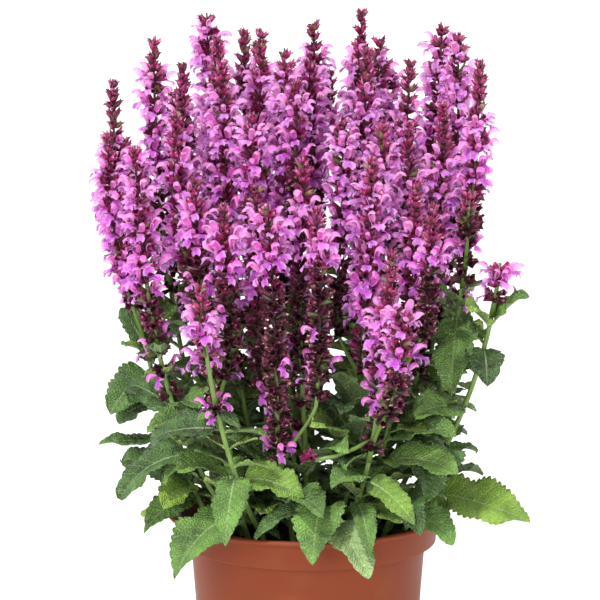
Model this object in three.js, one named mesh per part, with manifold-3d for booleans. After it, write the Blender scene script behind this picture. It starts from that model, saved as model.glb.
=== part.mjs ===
// Perennial salvia in full flower, growing in the round plastic pot that it is sold in.
//
// Millimetres, +Z up. The origin is the middle of the pot's underside and -Y is the front.
//
// The plant is a clump of square green stems that stand in the potting soil and spread like a
// fountain. Each stem carries its leaves in opposite pairs and ends in a purple flower head:
// a spike, mostly with one or two side spikes, set with rings of florets. Short leafy shoots
// at the edge of the clump hang their big leaves over the rim.

import * as THREE from 'three';
import Module from 'manifold-3d';
import { mergeVertices } from 'three/addons/utils/BufferGeometryUtils.js';

const wasm = await Module();
wasm.setup();

// ---------------------------------------------------------------- driving dimensions

const POT_HEIGHT = 130;
const POT_SIDES = 32;
const BASE_RADIUS = 62;
const BODY_RADIUS = 70.5;
const BAND_RADIUS = 77;
const LIP_RADIUS = 85;
const BAND_HEIGHT = 19;
const POT_WALL = 2;
const DRAIN_HOLES = 6;
const DRAIN_RADIUS = 5;
const DRAIN_CIRCLE = 42;

const SOIL_LEVEL = 118;
const SOIL_SIDES = 16;
const BEND_START = 120;
const FIT_GAP = 0.35;
const HOLE_FLOOR = 94;

// Stems leave the soil at ROOT_SHARE of their final distance from the middle, and bend
// upright over about SPREAD_HEIGHT.
const ROOT_SHARE = 0.38;
const SPREAD_HEIGHT = 85;
const SWAY = 1.2;
const SWAY_LENGTH = 28;

const STEM_HALF_WIDTH = 1.7;
const RACHIS_RADIUS = 1.9;
const SIDE_RACHIS_RADIUS = 1.5;
const FORK_DROP = 26;
const HEAD_DROP = 6;
const SHOOT_LEAN = 0.008;
const SIDE_RISE = 46;

const SPIKE_COLUMNS = 6;
const OPEN_REACH = 11.2;
const SPENT_REACH = 6.8;
const BUD_REACH = 6.2;
const TIP_REACH = 3.4;
const FLORET_RISE = 0.55;
const FLORET_ROOT = 0.2;
const OPEN_PITCH = 12.2;
const SPENT_PITCH = 14;
const BUD_PITCH = 11.4;

const BLADE_THICKNESS = 0.8;
const PETIOLE_HALF_WIDTH = 1.3;
const LEAF_FOLD = 0.22;
const LEAF_CLEARANCE = 0.35;
// The rule for the smaller leaves: where the pairs stand on a stem, how long the lowest
// leaves are and how much shorter the higher ones, and how far out any of them reaches.
const LOWEST_PAIR = 13;
const PAIR_SPACING = 32;
const SHOOT_PAIR_SPACING = 12;
const LOW_LEAF = 60;
const SHORTER_WITH_HEIGHT = 0.18;
const SHORTEST_LEAF = 14;
const LEAF_ARCH = 0.16;
const LEAF_WIDTH = 0.26;
// How many degrees a leaf across the clump's side turns its upper face outwards, to the light.
const LEAF_ROLL = 30;
const OUTER_RADIUS = 84;
const LEAF_LIMIT = 98;

// ---------------------------------------------------------------- the plant's layout

// One entry for each stem. Each of its spikes is x, y at the top of the clump, then the
// heights of the tip, the highest and lowest open floret and the lowest ring of calyces.
// The first spike goes straight on from the stem and the others branch off it.
const STEMS = [
  [[-118, 4, 391, 350, 262, 252], [-120, -25, 358, 335, 268, 258], [-127, 28, 317, 312, 288, 280]],
  [[-103, -56, 358, 343, 264, 250]],
  [[-94, 24, 411, 384, 318, 288], [-116, 50, 352, 325, 290, 286]],
  [[-75, -8, 402, 366, 290, 262], [-78, -41, 375, 343, 282, 268]],
  [[-61, 49, 427, 415, 305, 290], [-86, 68, 378, 350, 290, 285]],
  [[-51, -18, 402, 375, 285, 250], [-34, -39, 372, 360, 320, 250]],
  [[-55, 16, 415, 380, 300, 290], [-29, 16, 420, 388, 300, 290]],
  [[-40, 65, 416, 380, 305, 295], [-60, 94, 372, 345, 290, 285]],
  [[-12, 76, 394, 385, 300, 290], [-31, 102, 405, 388, 295, 285]],
  [[-14, -8, 410, 388, 295, 268], [-7, -31, 390, 375, 340, 290]],
  [[4, 49, 421, 400, 310, 290], [1, 18, 401, 385, 320, 300]],
  [[-4, -64, 352, 325, 284, 232], [-32, -66, 337, 315, 260, 195]],
  [[-68, -66, 338, 318, 292, 238], [-51, -88, 326, 305, 280, 222]],
  [[-66, -115, 284, 264, 234, 222]],
  [[-23, -94, 330, 318, 283, 190], [6, -94, 325, 305, 285, 212]],
  [[32, 61, 426, 398, 310, 300], [43, 33, 412, 395, 310, 300]],
  [[51, 86, 395, 382, 300, 290], [14, 98, 388, 362, 346, 336]],
  [[35, 0, 410, 378, 280, 262], [61, 6, 401, 370, 300, 285]],
  [[43, -43, 371, 345, 285, 245], [20, -37, 370, 355, 288, 240], [37, -68, 350, 330, 248, 228]],
  [[81, -18, 377, 342, 280, 256], [60, -29, 369, 335, 300, 262]],
  [[81, 43, 420, 405, 300, 285], [84, 76, 382, 350, 290, 285]],
  [[91, 8, 418, 398, 290, 272], [100, 34, 352, 325, 290, 275]],
  [[101, -31, 405, 368, 325, 302], [97, -58, 330, 315, 312, 300]],
  [[66, -60, 338, 305, 268, 242], [75, -88, 326, 300, 288, 240]],
  [[51, -95, 302, 262, 234, 224], [60, -127, 270, 262, 234, 204]],
  [[122, -40, 288, 278, 266, 264]],
];

// Leafy shoots without flowers: x, y at the soil and the height of the top.
const SHOOTS = [
  [-56, -16, 150],
  [-34, -48, 152],
  [7, -58, 150],
  [43, -41, 150],
  [58, -4, 150],
];

// The large leaves that show most, by the stem or shoot that they grow from: height of the
// foot, x, y, z of the tip, lift of the arch, half width and roll in degrees.
const LARGE_LEAVES = {
  stem_14: [[166, -47, -104, 133, 16, 11, 0], [164, -4, -90, 156, 9, 13, 30]],
  shoot_1: [[138, -97, -38, 124, 15, 10, -30], [146, -84, -54, 142, 12, 11, -20]],
  shoot_2: [[136, -77, -97, 113, 22, 17, -12], [144, -52, -92, 166, 12, 12, 0]],
  shoot_3: [
    [146, 2, -103, 122, 21, 15, 0],
    [133, 34, -99, 112, 21, 13, 15],
    [140, -22, -104, 132, 20, 8, -20],
  ],
  shoot_4: [[138, 84, -76, 128, 13, 13, 25], [146, 62, -97, 140, 13, 10, 20]],
  shoot_5: [[140, 130, -42, 131, 8, 17, 35], [146, 106, 8, 136, 8, 12, 0]],
  stem_26: [
    [247, 126, -46, 268, 4, 9, 30],
    [247, 90, -56, 262, 4, 10, -30],
    [233, 103, -58, 217, 8, 11, 0],
    [236, 84, -28, 244, 4, 9, -20],
    [220, 79, -52, 222, 6, 12, -20],
    [196, 62, -66, 200, 8, 12, -35],
    [172, 45, -86, 162, 15, 15, -30],
  ],
  stem_25: [
    [160, 14, -92, 172, 9, 10, -20],
    [160, 60, -98, 144, 10, 9, 25],
    [144, 35, -103, 128, 15, 7.5, 0],
  ],
  stem_01: [
    [216, -84, -20, 242, 4, 11, 30],
    [212, -117, -22, 193, 7, 13, -25],
    [196, -64, -18, 194, 6, 11, 30],
    [194, -114, -6, 184, 6, 9, -30],
    [168, -124, -14, 173, 3, 7, -20],
  ],
  stem_03: [[252, -96, -6, 241, 5, 9, -30], [244, -70, -2, 257, 5, 10, 30]],
  stem_04: [[227, -80, -26, 256, 5, 12, -20]],
  stem_02: [[170, -112, -42, 146, 16, 13, -25], [200, -62, -66, 206, 6, 11, 20]],
  stem_12: [[160, 22, -84, 186, 9, 13, 20], [146, -40, -70, 178, 8, 12, -30]],
  stem_13: [[188, -92, -76, 202, 8, 12, -30], [160, -74, -80, 172, 9, 13, -30]],
  stem_15: [[146, 8, -106, 153, 10, 12, 15]],
  stem_10: [[222, 2, -44, 244, 6, 11, 0]],
  stem_18: [[226, 22, -34, 249, 6, 12, 0]],
  stem_19: [
    [192, 14, -52, 222, 6, 11, 10],
    [188, 18, -66, 206, 8, 12, 0],
    [174, 48, -73, 194, 8, 13, 20],
    [156, 22, -82, 176, 10, 13, 0],
  ],
  stem_21: [[250, 99, 10, 237, 5, 10, 25]],
  stem_23: [[256, 76, -44, 270, 4, 10, -25], [252, 82, -52, 209, 12, 13, 10]],
  stem_24: [[180, 84, -72, 192, 8, 12, 30], [166, 84, -88, 172, 10, 13, 25]],
};

// ---------------------------------------------------------------- closed meshes

// Same sequence of values from 0 to 1 for the same seed.
function sequence(seed) {
  let state = seed;
  return () => {
    state = (state * 1664525 + 1013904223) % 4294967296;
    return state / 4294967296;
  };
}

// A geometry with shared corners from points and triangles of point numbers.
function meshOf(points, triangles) {
  const geometry = new THREE.BufferGeometry();
  const corners = points.flatMap((point) => [point.x, point.y, point.z]);
  geometry.setAttribute('position', new THREE.Float32BufferAttribute(corners, 3));
  geometry.setIndex(triangles.flat());
  return geometry;
}

// A closed solid between rings of points, each ring anticlockwise seen from above.
// Each four-sided facet is split along the diagonal that lies further in, which leaves what
// stands out from a ring as a pyramid of its own.
function loft(rings, centres) {
  const sides = rings[0].length;
  const top = (rings.length - 1) * sides;
  const triangles = [];
  for (let level = 0; level + 1 < rings.length; level += 1) {
    for (let side = 0; side < sides; side += 1) {
      const next = (side + 1) % sides;
      const reach = (at, column) => rings[at][column].distanceTo(centres[at]);
      const a = level * sides + side;
      const b = level * sides + next;
      const c = (level + 1) * sides + next;
      const d = (level + 1) * sides + side;
      const rising = reach(level, side) + reach(level + 1, next);
      const falling = reach(level, next) + reach(level + 1, side);
      if (rising < falling) {
        triangles.push([a, b, c], [a, c, d]);
      } else {
        triangles.push([a, b, d], [b, c, d]);
      }
    }
  }
  for (let side = 1; side + 1 < sides; side += 1) {
    triangles.push([0, side + 1, side], [top, top + side, top + side + 1]);
  }
  return meshOf(rings.flat(), triangles);
}

function solidOf(geometry) {
  const vertProperties = Float32Array.from(geometry.getAttribute('position').array);
  const triVerts = Uint32Array.from(geometry.getIndex().array);
  return new wasm.Manifold(new wasm.Mesh({ numProp: 3, vertProperties, triVerts }));
}

function geometryOf(solid) {
  const { vertProperties, triVerts } = solid.getMesh();
  const geometry = new THREE.BufferGeometry();
  geometry.setAttribute('position', new THREE.Float32BufferAttribute(vertProperties, 3));
  geometry.setIndex(Array.from(triVerts));
  return geometry;
}

// ---------------------------------------------------------------- stems and spikes

// How far out a stem stands at a height, as a share of its place at the top of the clump.
function spreadAt(height) {
  const above = Math.max(height - BEND_START, 0);
  return ROOT_SHARE + (1 - ROOT_SHARE) * (1 - Math.exp(-above / SPREAD_HEIGHT));
}

// The middle of a main stem at a height. It sways a little on its way up.
function stemCentre(x, y, height) {
  const above = Math.max(height - BEND_START, 0);
  const sway = SWAY * Math.sin(above / SWAY_LENGTH) * Math.cos(x + 2 * y);
  const spread = spreadAt(height);
  return new THREE.Vector3(x * spread + sway, y * spread - sway, height);
}

function smooth(share) {
  const held = Math.min(Math.max(share, 0), 1);
  return held * held * (3 - 2 * held);
}

// The middle of a spike at a height. A side spike leaves the main one at the fork.
function spikeCentre(spike, height) {
  const centre = stemCentre(spike.main[0], spike.main[1], height);
  const away = smooth((height - spike.fork) / SIDE_RISE) * spreadAt(height);
  centre.x += (spike.x - spike.main[0]) * away;
  centre.y += (spike.y - spike.main[1]) * away;
  return centre;
}

const spikes = [];
STEMS.forEach((stem, index) => {
  const drop = stem.length > 1 ? FORK_DROP : HEAD_DROP;
  const fork = Math.min(...stem.map((spike) => spike[5])) - drop;
  stem.forEach(([x, y, tip, openTop, openFoot, foot], place) => {
    spikes.push({ stem: index, place, main: stem[0], x, y, tip, openTop, openFoot, foot, fork });
  });
});

// The room a spike has at a height before it meets a neighbour: half the way to another
// spike's middle, or nearly the whole way to a bare stem.
function roomAt(spike, height) {
  const centre = spikeCentre(spike, height);
  let room = OPEN_REACH * 1.08;
  for (const other of spikes) {
    const sameFork = other.stem === spike.stem && height < spike.fork + SIDE_RISE * 0.5;
    if (other === spike || height > other.tip + 4 || sameFork) continue;
    const distance = spikeCentre(other, height).distanceTo(centre);
    const inFlower = height > other.foot - 10;
    room = Math.min(room, inFlower ? distance / 2 - FIT_GAP : distance - 2.4 - FIT_GAP);
  }
  return room;
}

// How far the florets at a height stand out: buds, open florets or spent calyces.
function reachAt(spike, height) {
  if (height > spike.openTop) {
    const share = (spike.tip - height) / Math.max(spike.tip - spike.openTop, 1);
    return TIP_REACH + (BUD_REACH - TIP_REACH) * Math.min(share * 1.6, 1);
  }
  return height > spike.openFoot - 4 ? OPEN_REACH : SPENT_REACH;
}

function pitchAt(spike, height) {
  if (height > spike.openTop) return BUD_PITCH;
  return height > spike.openFoot - 4 ? OPEN_PITCH : SPENT_PITCH;
}

// A ring of points round a spike at a height, with a reach and a rise for each column.
function spikeRing(spike, height, reaches, rises) {
  return reaches.map((reach, column) => {
    const centre = spikeCentre(spike, height + rises[column]);
    const angle = ((column + 0.5) / SPIKE_COLUMNS) * Math.PI * 2;
    centre.x += reach * Math.cos(angle);
    centre.y += reach * Math.sin(angle);
    return centre;
  });
}

// One spike: a thin purple stalk, with three florets pulled out of it at each ring, outwards
// and up. Every ring is turned by half a step, so its florets stand between those below.
function spikeGeometry(spike, random) {
  const isMain = spike.place === 0;
  const stalk = isMain ? RACHIS_RADIUS : SIDE_RACHIS_RADIUS;
  const start = isMain ? spike.fork - 4 : spike.fork + 2;
  const flat = new Array(SPIKE_COLUMNS).fill(0);
  const rings = [];
  const centres = [];
  const addRing = (height, reaches, rises) => {
    rings.push(spikeRing(spike, height, reaches, rises));
    centres.push(spikeCentre(spike, height));
  };
  const addBareRing = (height, reach) => addRing(height, flat.map(() => reach), flat);
  addBareRing(start, stalk);
  addBareRing(spike.foot - 5, stalk);
  let height = spike.foot;
  for (let ring = spike.place; height < spike.tip - 4; ring += 1) {
    const pitch = pitchAt(spike, height);
    const rise = pitch * FLORET_RISE;
    const wanted = reachAt(spike, height + rise) * (0.88 + 0.24 * random());
    const reach = Math.max(Math.min(wanted, roomAt(spike, height + rise)), stalk + 0.5);
    const isFloret = flat.map((_, column) => (column + ring) % 2 === 0);
    const between = stalk + FLORET_ROOT * (reach - stalk);
    const reaches = isFloret.map((out) => (out ? reach : between));
    addRing(height, reaches, isFloret.map((out) => (out ? rise : 0)));
    height += pitch;
  }
  addBareRing(Math.max(height, spike.tip - 1), stalk * 0.6);
  return loft(rings, centres);
}

// A square stem through the given heights. It gets thinner towards the top.
function squareStem(centreAt, heights, halfWidth) {
  const centres = heights.map(centreAt);
  const rings = centres.map((centre, level) => {
    const half = halfWidth * (1 - 0.06 * Math.max(level - 1, 0));
    const corners = [[-half, -half], [half, -half], [half, half], [-half, half]];
    return corners.map(([x, y]) => new THREE.Vector3(centre.x + x, centre.y + y, centre.z));
  });
  return loft(rings, centres);
}

// ---------------------------------------------------------------- leaves

// Places along a leaf from its foot to just before its tip, with the half width there as a
// share of the largest. The edge runs in and out from place to place: it is scalloped.
const LARGE_OUTLINE = [[0, 0], [0.13, 0], [0.25, 0.84], [0.42, 1], [0.57, 0.8], [0.78, 0.58]];
const SMALL_OUTLINE = [[0, 0], [0.27, 1], [0.62, 0.82]];

// A thin arched blade from foot to tip, folded a little along its midrib. Both faces are
// split into the same triangles.
function leafGeometry(leaf, swell = 0) {
  const middle = leaf.foot.clone().lerp(leaf.tip, 0.5);
  middle.z += leaf.lift;
  const line = new THREE.QuadraticBezierCurve3(leaf.foot, middle, leaf.tip);
  const side = new THREE.Vector3(leaf.foot.y - leaf.tip.y, leaf.tip.x - leaf.foot.x, 0).normalize();
  const half = BLADE_THICKNESS / 2 + swell;
  const points = [];
  const triangles = [];
  const upAt = (along) => {
    const tangent = line.getTangent(along);
    const across = side.clone().applyAxisAngle(tangent, leaf.roll);
    return [across, tangent.cross(across)];
  };
  leaf.outline.forEach(([along, share]) => {
    const spot = line.getPoint(along);
    const [across, up] = upAt(along);
    const width = Math.max(share * leaf.halfWidth, PETIOLE_HALF_WIDTH) + swell;
    const fold = share * leaf.halfWidth * LEAF_FOLD;
    const section = [
      spot.clone().addScaledVector(across, width).addScaledVector(up, fold),
      spot,
      spot.clone().addScaledVector(across, -width).addScaledVector(up, fold),
    ];
    points.push(...section.map((point) => point.clone().addScaledVector(up, half)));
    points.push(...section.reverse().map((point) => point.clone().addScaledVector(up, -half)));
  });
  const tipUp = upAt(1)[1];
  const tip = points.length;
  points.push(leaf.tip.clone().addScaledVector(tipUp, half));
  points.push(leaf.tip.clone().addScaledVector(tipUp, -half));
  // Corners 0 to 2 of a section are on the upper face and 3 to 5 on the lower face.
  for (let strip = 0; strip < leaf.outline.length; strip += 1) {
    const isLast = strip === leaf.outline.length - 1;
    for (let corner = 0; corner < 6; corner += 1) {
      const a = strip * 6 + corner;
      const b = strip * 6 + ((corner + 1) % 6);
      const d = isLast ? tip + Number(corner > 2) : a + 6;
      const c = isLast ? tip + Number((corner + 1) % 6 > 2) : b + 6;
      if (corner === 1 || corner === 4) {
        triangles.push([a, b, c], [a, c, d]);
      } else {
        triangles.push([a, b, d], [b, c, d]);
      }
    }
  }
  triangles.push([0, 5, 1], [5, 4, 1], [4, 2, 1], [4, 3, 2]);
  return meshOf(points, triangles.filter(([a, b, c]) => a !== b && b !== c && c !== a));
}

// What a leaf gives way by when another leaf, stem or floret is in its place: turned about
// its stem in degrees, raised in millimetres and grown to a share of its length.
const GIVE_WAY = [
  [0, 0, 1], [9, 0, 1], [-9, 0, 1], [0, 7, 1], [9, 7, 1], [-9, 7, 1], [0, -7, 1], [18, 0, 1],
  [-18, 0, 1], [18, 8, 1], [-18, 8, 1], [0, 0, 0.8], [0, 14, 1], [12, 14, 1], [-12, 14, 1],
  [28, 0, 0.9], [-28, 0, 0.9], [28, 10, 0.9], [-28, 10, 0.9], [12, 6, 0.75], [-12, 6, 0.75],
  [0, 22, 0.9], [22, 20, 0.9], [-22, 20, 0.9], [30, 4, 0.7], [-30, 4, 0.7], [0, -6, 0.7],
];

function movedLeaf(leaf, [turn, raise, share]) {
  const reach = leaf.tip.clone().sub(leaf.foot).multiplyScalar(share);
  reach.applyAxisAngle(new THREE.Vector3(0, 0, 1), THREE.MathUtils.degToRad(turn));
  const tip = leaf.foot.clone().add(reach);
  tip.z += raise;
  return { ...leaf, tip, lift: leaf.lift * share, halfWidth: leaf.halfWidth * share };
}

// ---------------------------------------------------------------- pot and soil

// A closed body turned about the pot's axis, with shared corners and no empty facets.
function turned(profile, sides) {
  const outline = profile.map(([radius, height]) => new THREE.Vector2(radius, height));
  const geometry = new THREE.LatheGeometry(outline, sides);
  geometry.deleteAttribute('normal');
  geometry.deleteAttribute('uv');
  geometry.rotateX(Math.PI / 2);
  const welded = mergeVertices(geometry, 1e-4);
  const corners = Array.from(welded.getIndex().array);
  const kept = [];
  for (let start = 0; start < corners.length; start += 3) {
    const [a, b, c] = corners.slice(start, start + 3);
    if (a !== b && b !== c && c !== a) kept.push(a, b, c);
  }
  welded.setIndex(kept);
  return welded;
}

// The body tapers to the base. A ledge carries the upright band, which ends in a flared lip.
const LEDGE_HEIGHT = POT_HEIGHT - BAND_HEIGHT;
const INSIDE_BASE = BASE_RADIUS - POT_WALL;
const INSIDE_BODY = BODY_RADIUS - POT_WALL;
const INSIDE_BAND = BAND_RADIUS - POT_WALL;
const potProfile = [
  [0, 0],
  [BASE_RADIUS, 0],
  [BODY_RADIUS, LEDGE_HEIGHT],
  [BAND_RADIUS, LEDGE_HEIGHT],
  [BAND_RADIUS + 0.6, POT_HEIGHT - 5.5],
  [LIP_RADIUS, POT_HEIGHT - 3],
  [LIP_RADIUS - 0.6, POT_HEIGHT],
  [LIP_RADIUS - 4, POT_HEIGHT - 0.4],
  [INSIDE_BAND + 0.6, POT_HEIGHT - 4],
  [INSIDE_BAND, LEDGE_HEIGHT + POT_WALL],
  [INSIDE_BODY, LEDGE_HEIGHT + POT_WALL],
  [INSIDE_BASE, POT_WALL],
  [0, POT_WALL],
];

function potSolid() {
  let pot = solidOf(turned(potProfile, POT_SIDES));
  for (let hole = 0; hole < DRAIN_HOLES; hole += 1) {
    const angle = ((hole + 0.5) / DRAIN_HOLES) * Math.PI * 2;
    const above = POT_WALL + 1;
    const drill = turned([[0, -1], [DRAIN_RADIUS, -1], [DRAIN_RADIUS, above], [0, above]], 8);
    drill.translate(DRAIN_CIRCLE * Math.cos(angle), DRAIN_CIRCLE * Math.sin(angle), 0);
    pot = pot.subtract(solidOf(drill));
  }
  return pot;
}

// The soil fills the pot to just under the rim. Its top is crumbly and a little domed.
function soilGeometry() {
  const floor = POT_WALL + FIT_GAP;
  const ledge = LEDGE_HEIGHT + POT_WALL + FIT_GAP;
  const soil = turned([
    [0, floor],
    [INSIDE_BASE - FIT_GAP, floor],
    [INSIDE_BODY - FIT_GAP, ledge],
    [INSIDE_BAND - FIT_GAP, ledge],
    [INSIDE_BAND - FIT_GAP, SOIL_LEVEL - 2],
    [INSIDE_BAND * 0.68, SOIL_LEVEL],
    [INSIDE_BAND * 0.34, SOIL_LEVEL + 0.5],
    [0, SOIL_LEVEL + 0.5],
  ], SOIL_SIDES);
  const places = soil.getAttribute('position');
  const random = sequence(7);
  for (let corner = 0; corner < places.count; corner += 1) {
    const crumb = 2.4 * (random() - 0.5);
    const isInside = Math.hypot(places.getX(corner), places.getY(corner)) < INSIDE_BAND * 0.9;
    if (places.getZ(corner) >= SOIL_LEVEL && isInside) places.setZ(corner, places.getZ(corner) + crumb);
  }
  return soil;
}

// ---------------------------------------------------------------- the plant, stem by stem

const obstacles = [];

function addObstacle(solid, owner, height) {
  const { min, max } = solid.boundingBox();
  const box = new THREE.Box3(new THREE.Vector3(...min), new THREE.Vector3(...max));
  obstacles.push({ solid, owner, height, box });
}

const pot = potSolid();
addObstacle(pot, 'pot');
let soil = solidOf(soilGeometry());

const flowerHeads = STEMS.map((_, index) => {
  const parts = spikes.filter((spike) => spike.stem === index);
  const solids = parts.map((spike, place) => {
    return solidOf(spikeGeometry(spike, sequence(100 * (index + 1) + place)));
  });
  solids.forEach((solid) => addObstacle(solid, 'flowers'));
  return solids.reduce((joined, solid) => joined.add(solid));
});

// Stems and shoots alike: the name, the middle at a height, the square stalk and the leaves.
const growths = [];
STEMS.forEach((stem, index) => {
  const [x, y] = stem[0];
  const top = spikes.find((spike) => spike.stem === index).fork - 4 - FIT_GAP;
  const number = String(index + 1).padStart(2, '0');
  growths.push({ name: `stem_${number}`, x, y, top, centreAt: (height) => stemCentre(x, y, height) });
});
SHOOTS.forEach(([x, y, top], index) => {
  const centreAt = (height) => {
    const lean = 1 + SHOOT_LEAN * Math.max(height - BEND_START, 0);
    return new THREE.Vector3(x * lean, y * lean, height);
  };
  growths.push({ name: `shoot_${index + 1}`, x, y, top, centreAt, isShoot: true });
});

growths.forEach((growth) => {
  const { centreAt, top, isShoot } = growth;
  const rise = [0, 0.22, 0.55, 1].map((share) => BEND_START + share * (top - BEND_START));
  const heights = isShoot ? [BEND_START, top] : rise;
  growth.stalk = solidOf(squareStem(centreAt, [HOLE_FLOOR + FIT_GAP, ...heights], STEM_HALF_WIDTH));
  addObstacle(growth.stalk, growth.name);
  const hole = squareStem(centreAt, [HOLE_FLOOR, BEND_START], STEM_HALF_WIDTH + FIT_GAP);
  soil = soil.subtract(solidOf(hole));
});

addObstacle(soil, 'soil');

function isClear(solid, owner, height) {
  const { min, max } = solid.boundingBox();
  const box = new THREE.Box3(new THREE.Vector3(...min), new THREE.Vector3(...max));
  return !obstacles.some((other) => {
    const isOwn = other.owner === owner && (other.height === undefined || other.height === height);
    return !isOwn && other.box.intersectsBox(box) && !other.solid.intersect(solid).isEmpty();
  });
}

// Adds the leaf in the first place that is clear, or not at all.
function growLeaf(growth, leaf) {
  const place = GIVE_WAY.map((change) => movedLeaf(leaf, change)).find((moved) => {
    return isClear(solidOf(leafGeometry(moved, LEAF_CLEARANCE)), growth.name, leaf.foot.z);
  });
  if (!place) return;
  const solid = solidOf(leafGeometry(place));
  addObstacle(solid, growth.name, leaf.foot.z);
  growth.leaves.push(solid);
}

growths.forEach((growth) => {
  growth.leaves = [];
  (LARGE_LEAVES[growth.name] ?? []).forEach(([height, x, y, z, lift, halfWidth, roll]) => {
    const foot = growth.centreAt(height);
    const tip = new THREE.Vector3(x, y, z);
    const turn = THREE.MathUtils.degToRad(roll);
    growLeaf(growth, { foot, tip, lift, halfWidth, roll: turn, outline: LARGE_OUTLINE });
  });
});

// The other leaves stand in opposite pairs, each pair crosswise to the next. They are smaller
// higher up, and few grow towards the middle of the clump, where they would have no light.
growths.forEach((growth, index) => {
  const random = sequence(500 + index);
  const outward = Math.atan2(growth.y, growth.x);
  const isOuter = growth.isShoot || Math.hypot(growth.x, growth.y) > OUTER_RADIUS;
  const highest = isOuter ? growth.top - 6 : SOIL_LEVEL + 4 * PAIR_SPACING;
  const spacing = growth.isShoot ? SHOOT_PAIR_SPACING : PAIR_SPACING;
  let quarter = index % 2;
  for (let height = SOIL_LEVEL + LOWEST_PAIR; height < highest; height += spacing) {
    for (const half of [0, 1]) {
      const [aside, size, rise] = [random(), random(), random()];
      const degrees = 20 + 90 * quarter + 180 * half + 24 * (aside - 0.5);
      const angle = outward + THREE.MathUtils.degToRad(degrees);
      const usual = LOW_LEAF - SHORTER_WITH_HEIGHT * (height - SOIL_LEVEL);
      const length = usual * (0.85 + 0.3 * size);
      const climb = length * (0.1 + 0.5 * rise - (isOuter ? 0.3 : 0));
      const foot = growth.centreAt(height + 3 * size);
      const room = LEAF_LIMIT - Math.hypot(foot.x, foot.y) * Math.cos(angle - outward);
      const level = Math.min(Math.sqrt(length * length - climb * climb), Math.max(room, SHORTEST_LEAF));
      const reach = new THREE.Vector3(level * Math.cos(angle), level * Math.sin(angle), climb);
      const leaf = {
        foot,
        tip: foot.clone().add(reach),
        lift: length * LEAF_ARCH,
        halfWidth: Math.hypot(level, climb) * LEAF_WIDTH,
        roll: THREE.MathUtils.degToRad(LEAF_ROLL * Math.sin(angle - outward)),
        outline: SMALL_OUTLINE,
      };
      if (Math.cos(angle - outward) > -0.4) growLeaf(growth, leaf);
    }
    quarter = 1 - quarter;
  }
});

// ---------------------------------------------------------------- the scene graph

const plant = new THREE.Group();
plant.name = 'perennial_salvia';

function addPiece(name, solid, colour, roughness) {
  const material = new THREE.MeshStandardMaterial({ color: colour, roughness, metalness: 0 });
  const piece = new THREE.Mesh(geometryOf(solid), material);
  piece.name = name;
  plant.add(piece);
}

addPiece('pot', pot, 0xa5573f, 0.4);
addPiece('soil', soil, 0x1d1815, 0.95);
growths.forEach((growth) => {
  const joined = growth.leaves.reduce((sum, leaf) => sum.add(leaf), growth.stalk);
  addPiece(`${growth.name}_leafy`, joined, 0x557f3e, 0.65);
});
flowerHeads.forEach((head, index) => {
  addPiece(`stem_${String(index + 1).padStart(2, '0')}_flowers`, head, 0xb25cae, 0.7);
});

export default plant;
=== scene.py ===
import math
from collections import namedtuple

import bmesh
import bpy
import numpy as np
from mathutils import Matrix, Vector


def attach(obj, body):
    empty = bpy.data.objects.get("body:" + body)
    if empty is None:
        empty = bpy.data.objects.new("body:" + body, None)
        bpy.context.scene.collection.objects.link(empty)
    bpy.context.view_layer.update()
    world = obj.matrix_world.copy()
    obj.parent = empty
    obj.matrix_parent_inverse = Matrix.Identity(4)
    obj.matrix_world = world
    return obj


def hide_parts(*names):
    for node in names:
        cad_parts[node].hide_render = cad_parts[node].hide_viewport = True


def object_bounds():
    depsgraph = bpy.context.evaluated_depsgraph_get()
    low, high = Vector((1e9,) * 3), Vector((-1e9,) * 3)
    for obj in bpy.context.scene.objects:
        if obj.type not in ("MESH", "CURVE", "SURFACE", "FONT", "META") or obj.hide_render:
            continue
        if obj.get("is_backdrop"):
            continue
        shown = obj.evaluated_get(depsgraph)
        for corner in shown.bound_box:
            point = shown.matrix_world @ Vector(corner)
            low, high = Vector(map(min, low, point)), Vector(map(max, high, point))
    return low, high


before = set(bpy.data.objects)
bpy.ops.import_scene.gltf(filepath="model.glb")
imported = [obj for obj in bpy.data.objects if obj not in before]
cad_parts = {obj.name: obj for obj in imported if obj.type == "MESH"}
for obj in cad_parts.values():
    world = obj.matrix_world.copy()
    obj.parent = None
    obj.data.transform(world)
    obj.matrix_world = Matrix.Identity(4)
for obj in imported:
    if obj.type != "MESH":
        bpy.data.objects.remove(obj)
cad_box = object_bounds()

# Perennial salvia in its nursery pot. Sizes are in millimetres, with the origin in the middle
# of the pot's underside and -Y at the front, and every mesh is made MM times as large.
MM = 0.001


# ------------------------------------------------------------------------------------------
# Pot. A thin-walled nursery pot, injection moulded from terracotta-coloured polypropylene:
# a tapering body, a ledge, an upright band and a rolled lip. It carries everything else.

POT_HEIGHT = 130.0
POT_SIDES = 144
BASE_RADIUS = 62.0
BODY_RADIUS = 70.5
BAND_RADIUS = 77.0
LIP_RADIUS = 85.0
BAND_HEIGHT = 19.0
POT_WALL = 2.0
FOOT_ROUND = 1.2
LEDGE_ROUND = 0.9
LIP_ROUND = 1.3
DRAIN_HOLES = 6
DRAIN_RADIUS = 5.0
DRAIN_CIRCLE = 42.0
DRAIN_SIDES = 24
# Faces that meet at more than this keep a hard edge.
SHARP_DEGREES = 38
LEDGE_HEIGHT = POT_HEIGHT - BAND_HEIGHT


def arc(radius, height, size, start, end, steps):
    """Points of a round corner in a pot's profile, from one angle to another in degrees."""
    angles = np.radians(np.linspace(start, end, steps))
    return [(radius + size * math.cos(a), height + size * math.sin(a)) for a in angles]


def round_faces(rings, sides):
    """Faces between rings of corners that follow each other, with the outside outwards."""
    faces = []
    for low in range(0, (rings - 1) * sides, sides):
        for side in range(sides):
            after = (side + 1) % sides
            faces.append((low + side, low + after, low + sides + after, low + sides + side))
    return faces


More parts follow.
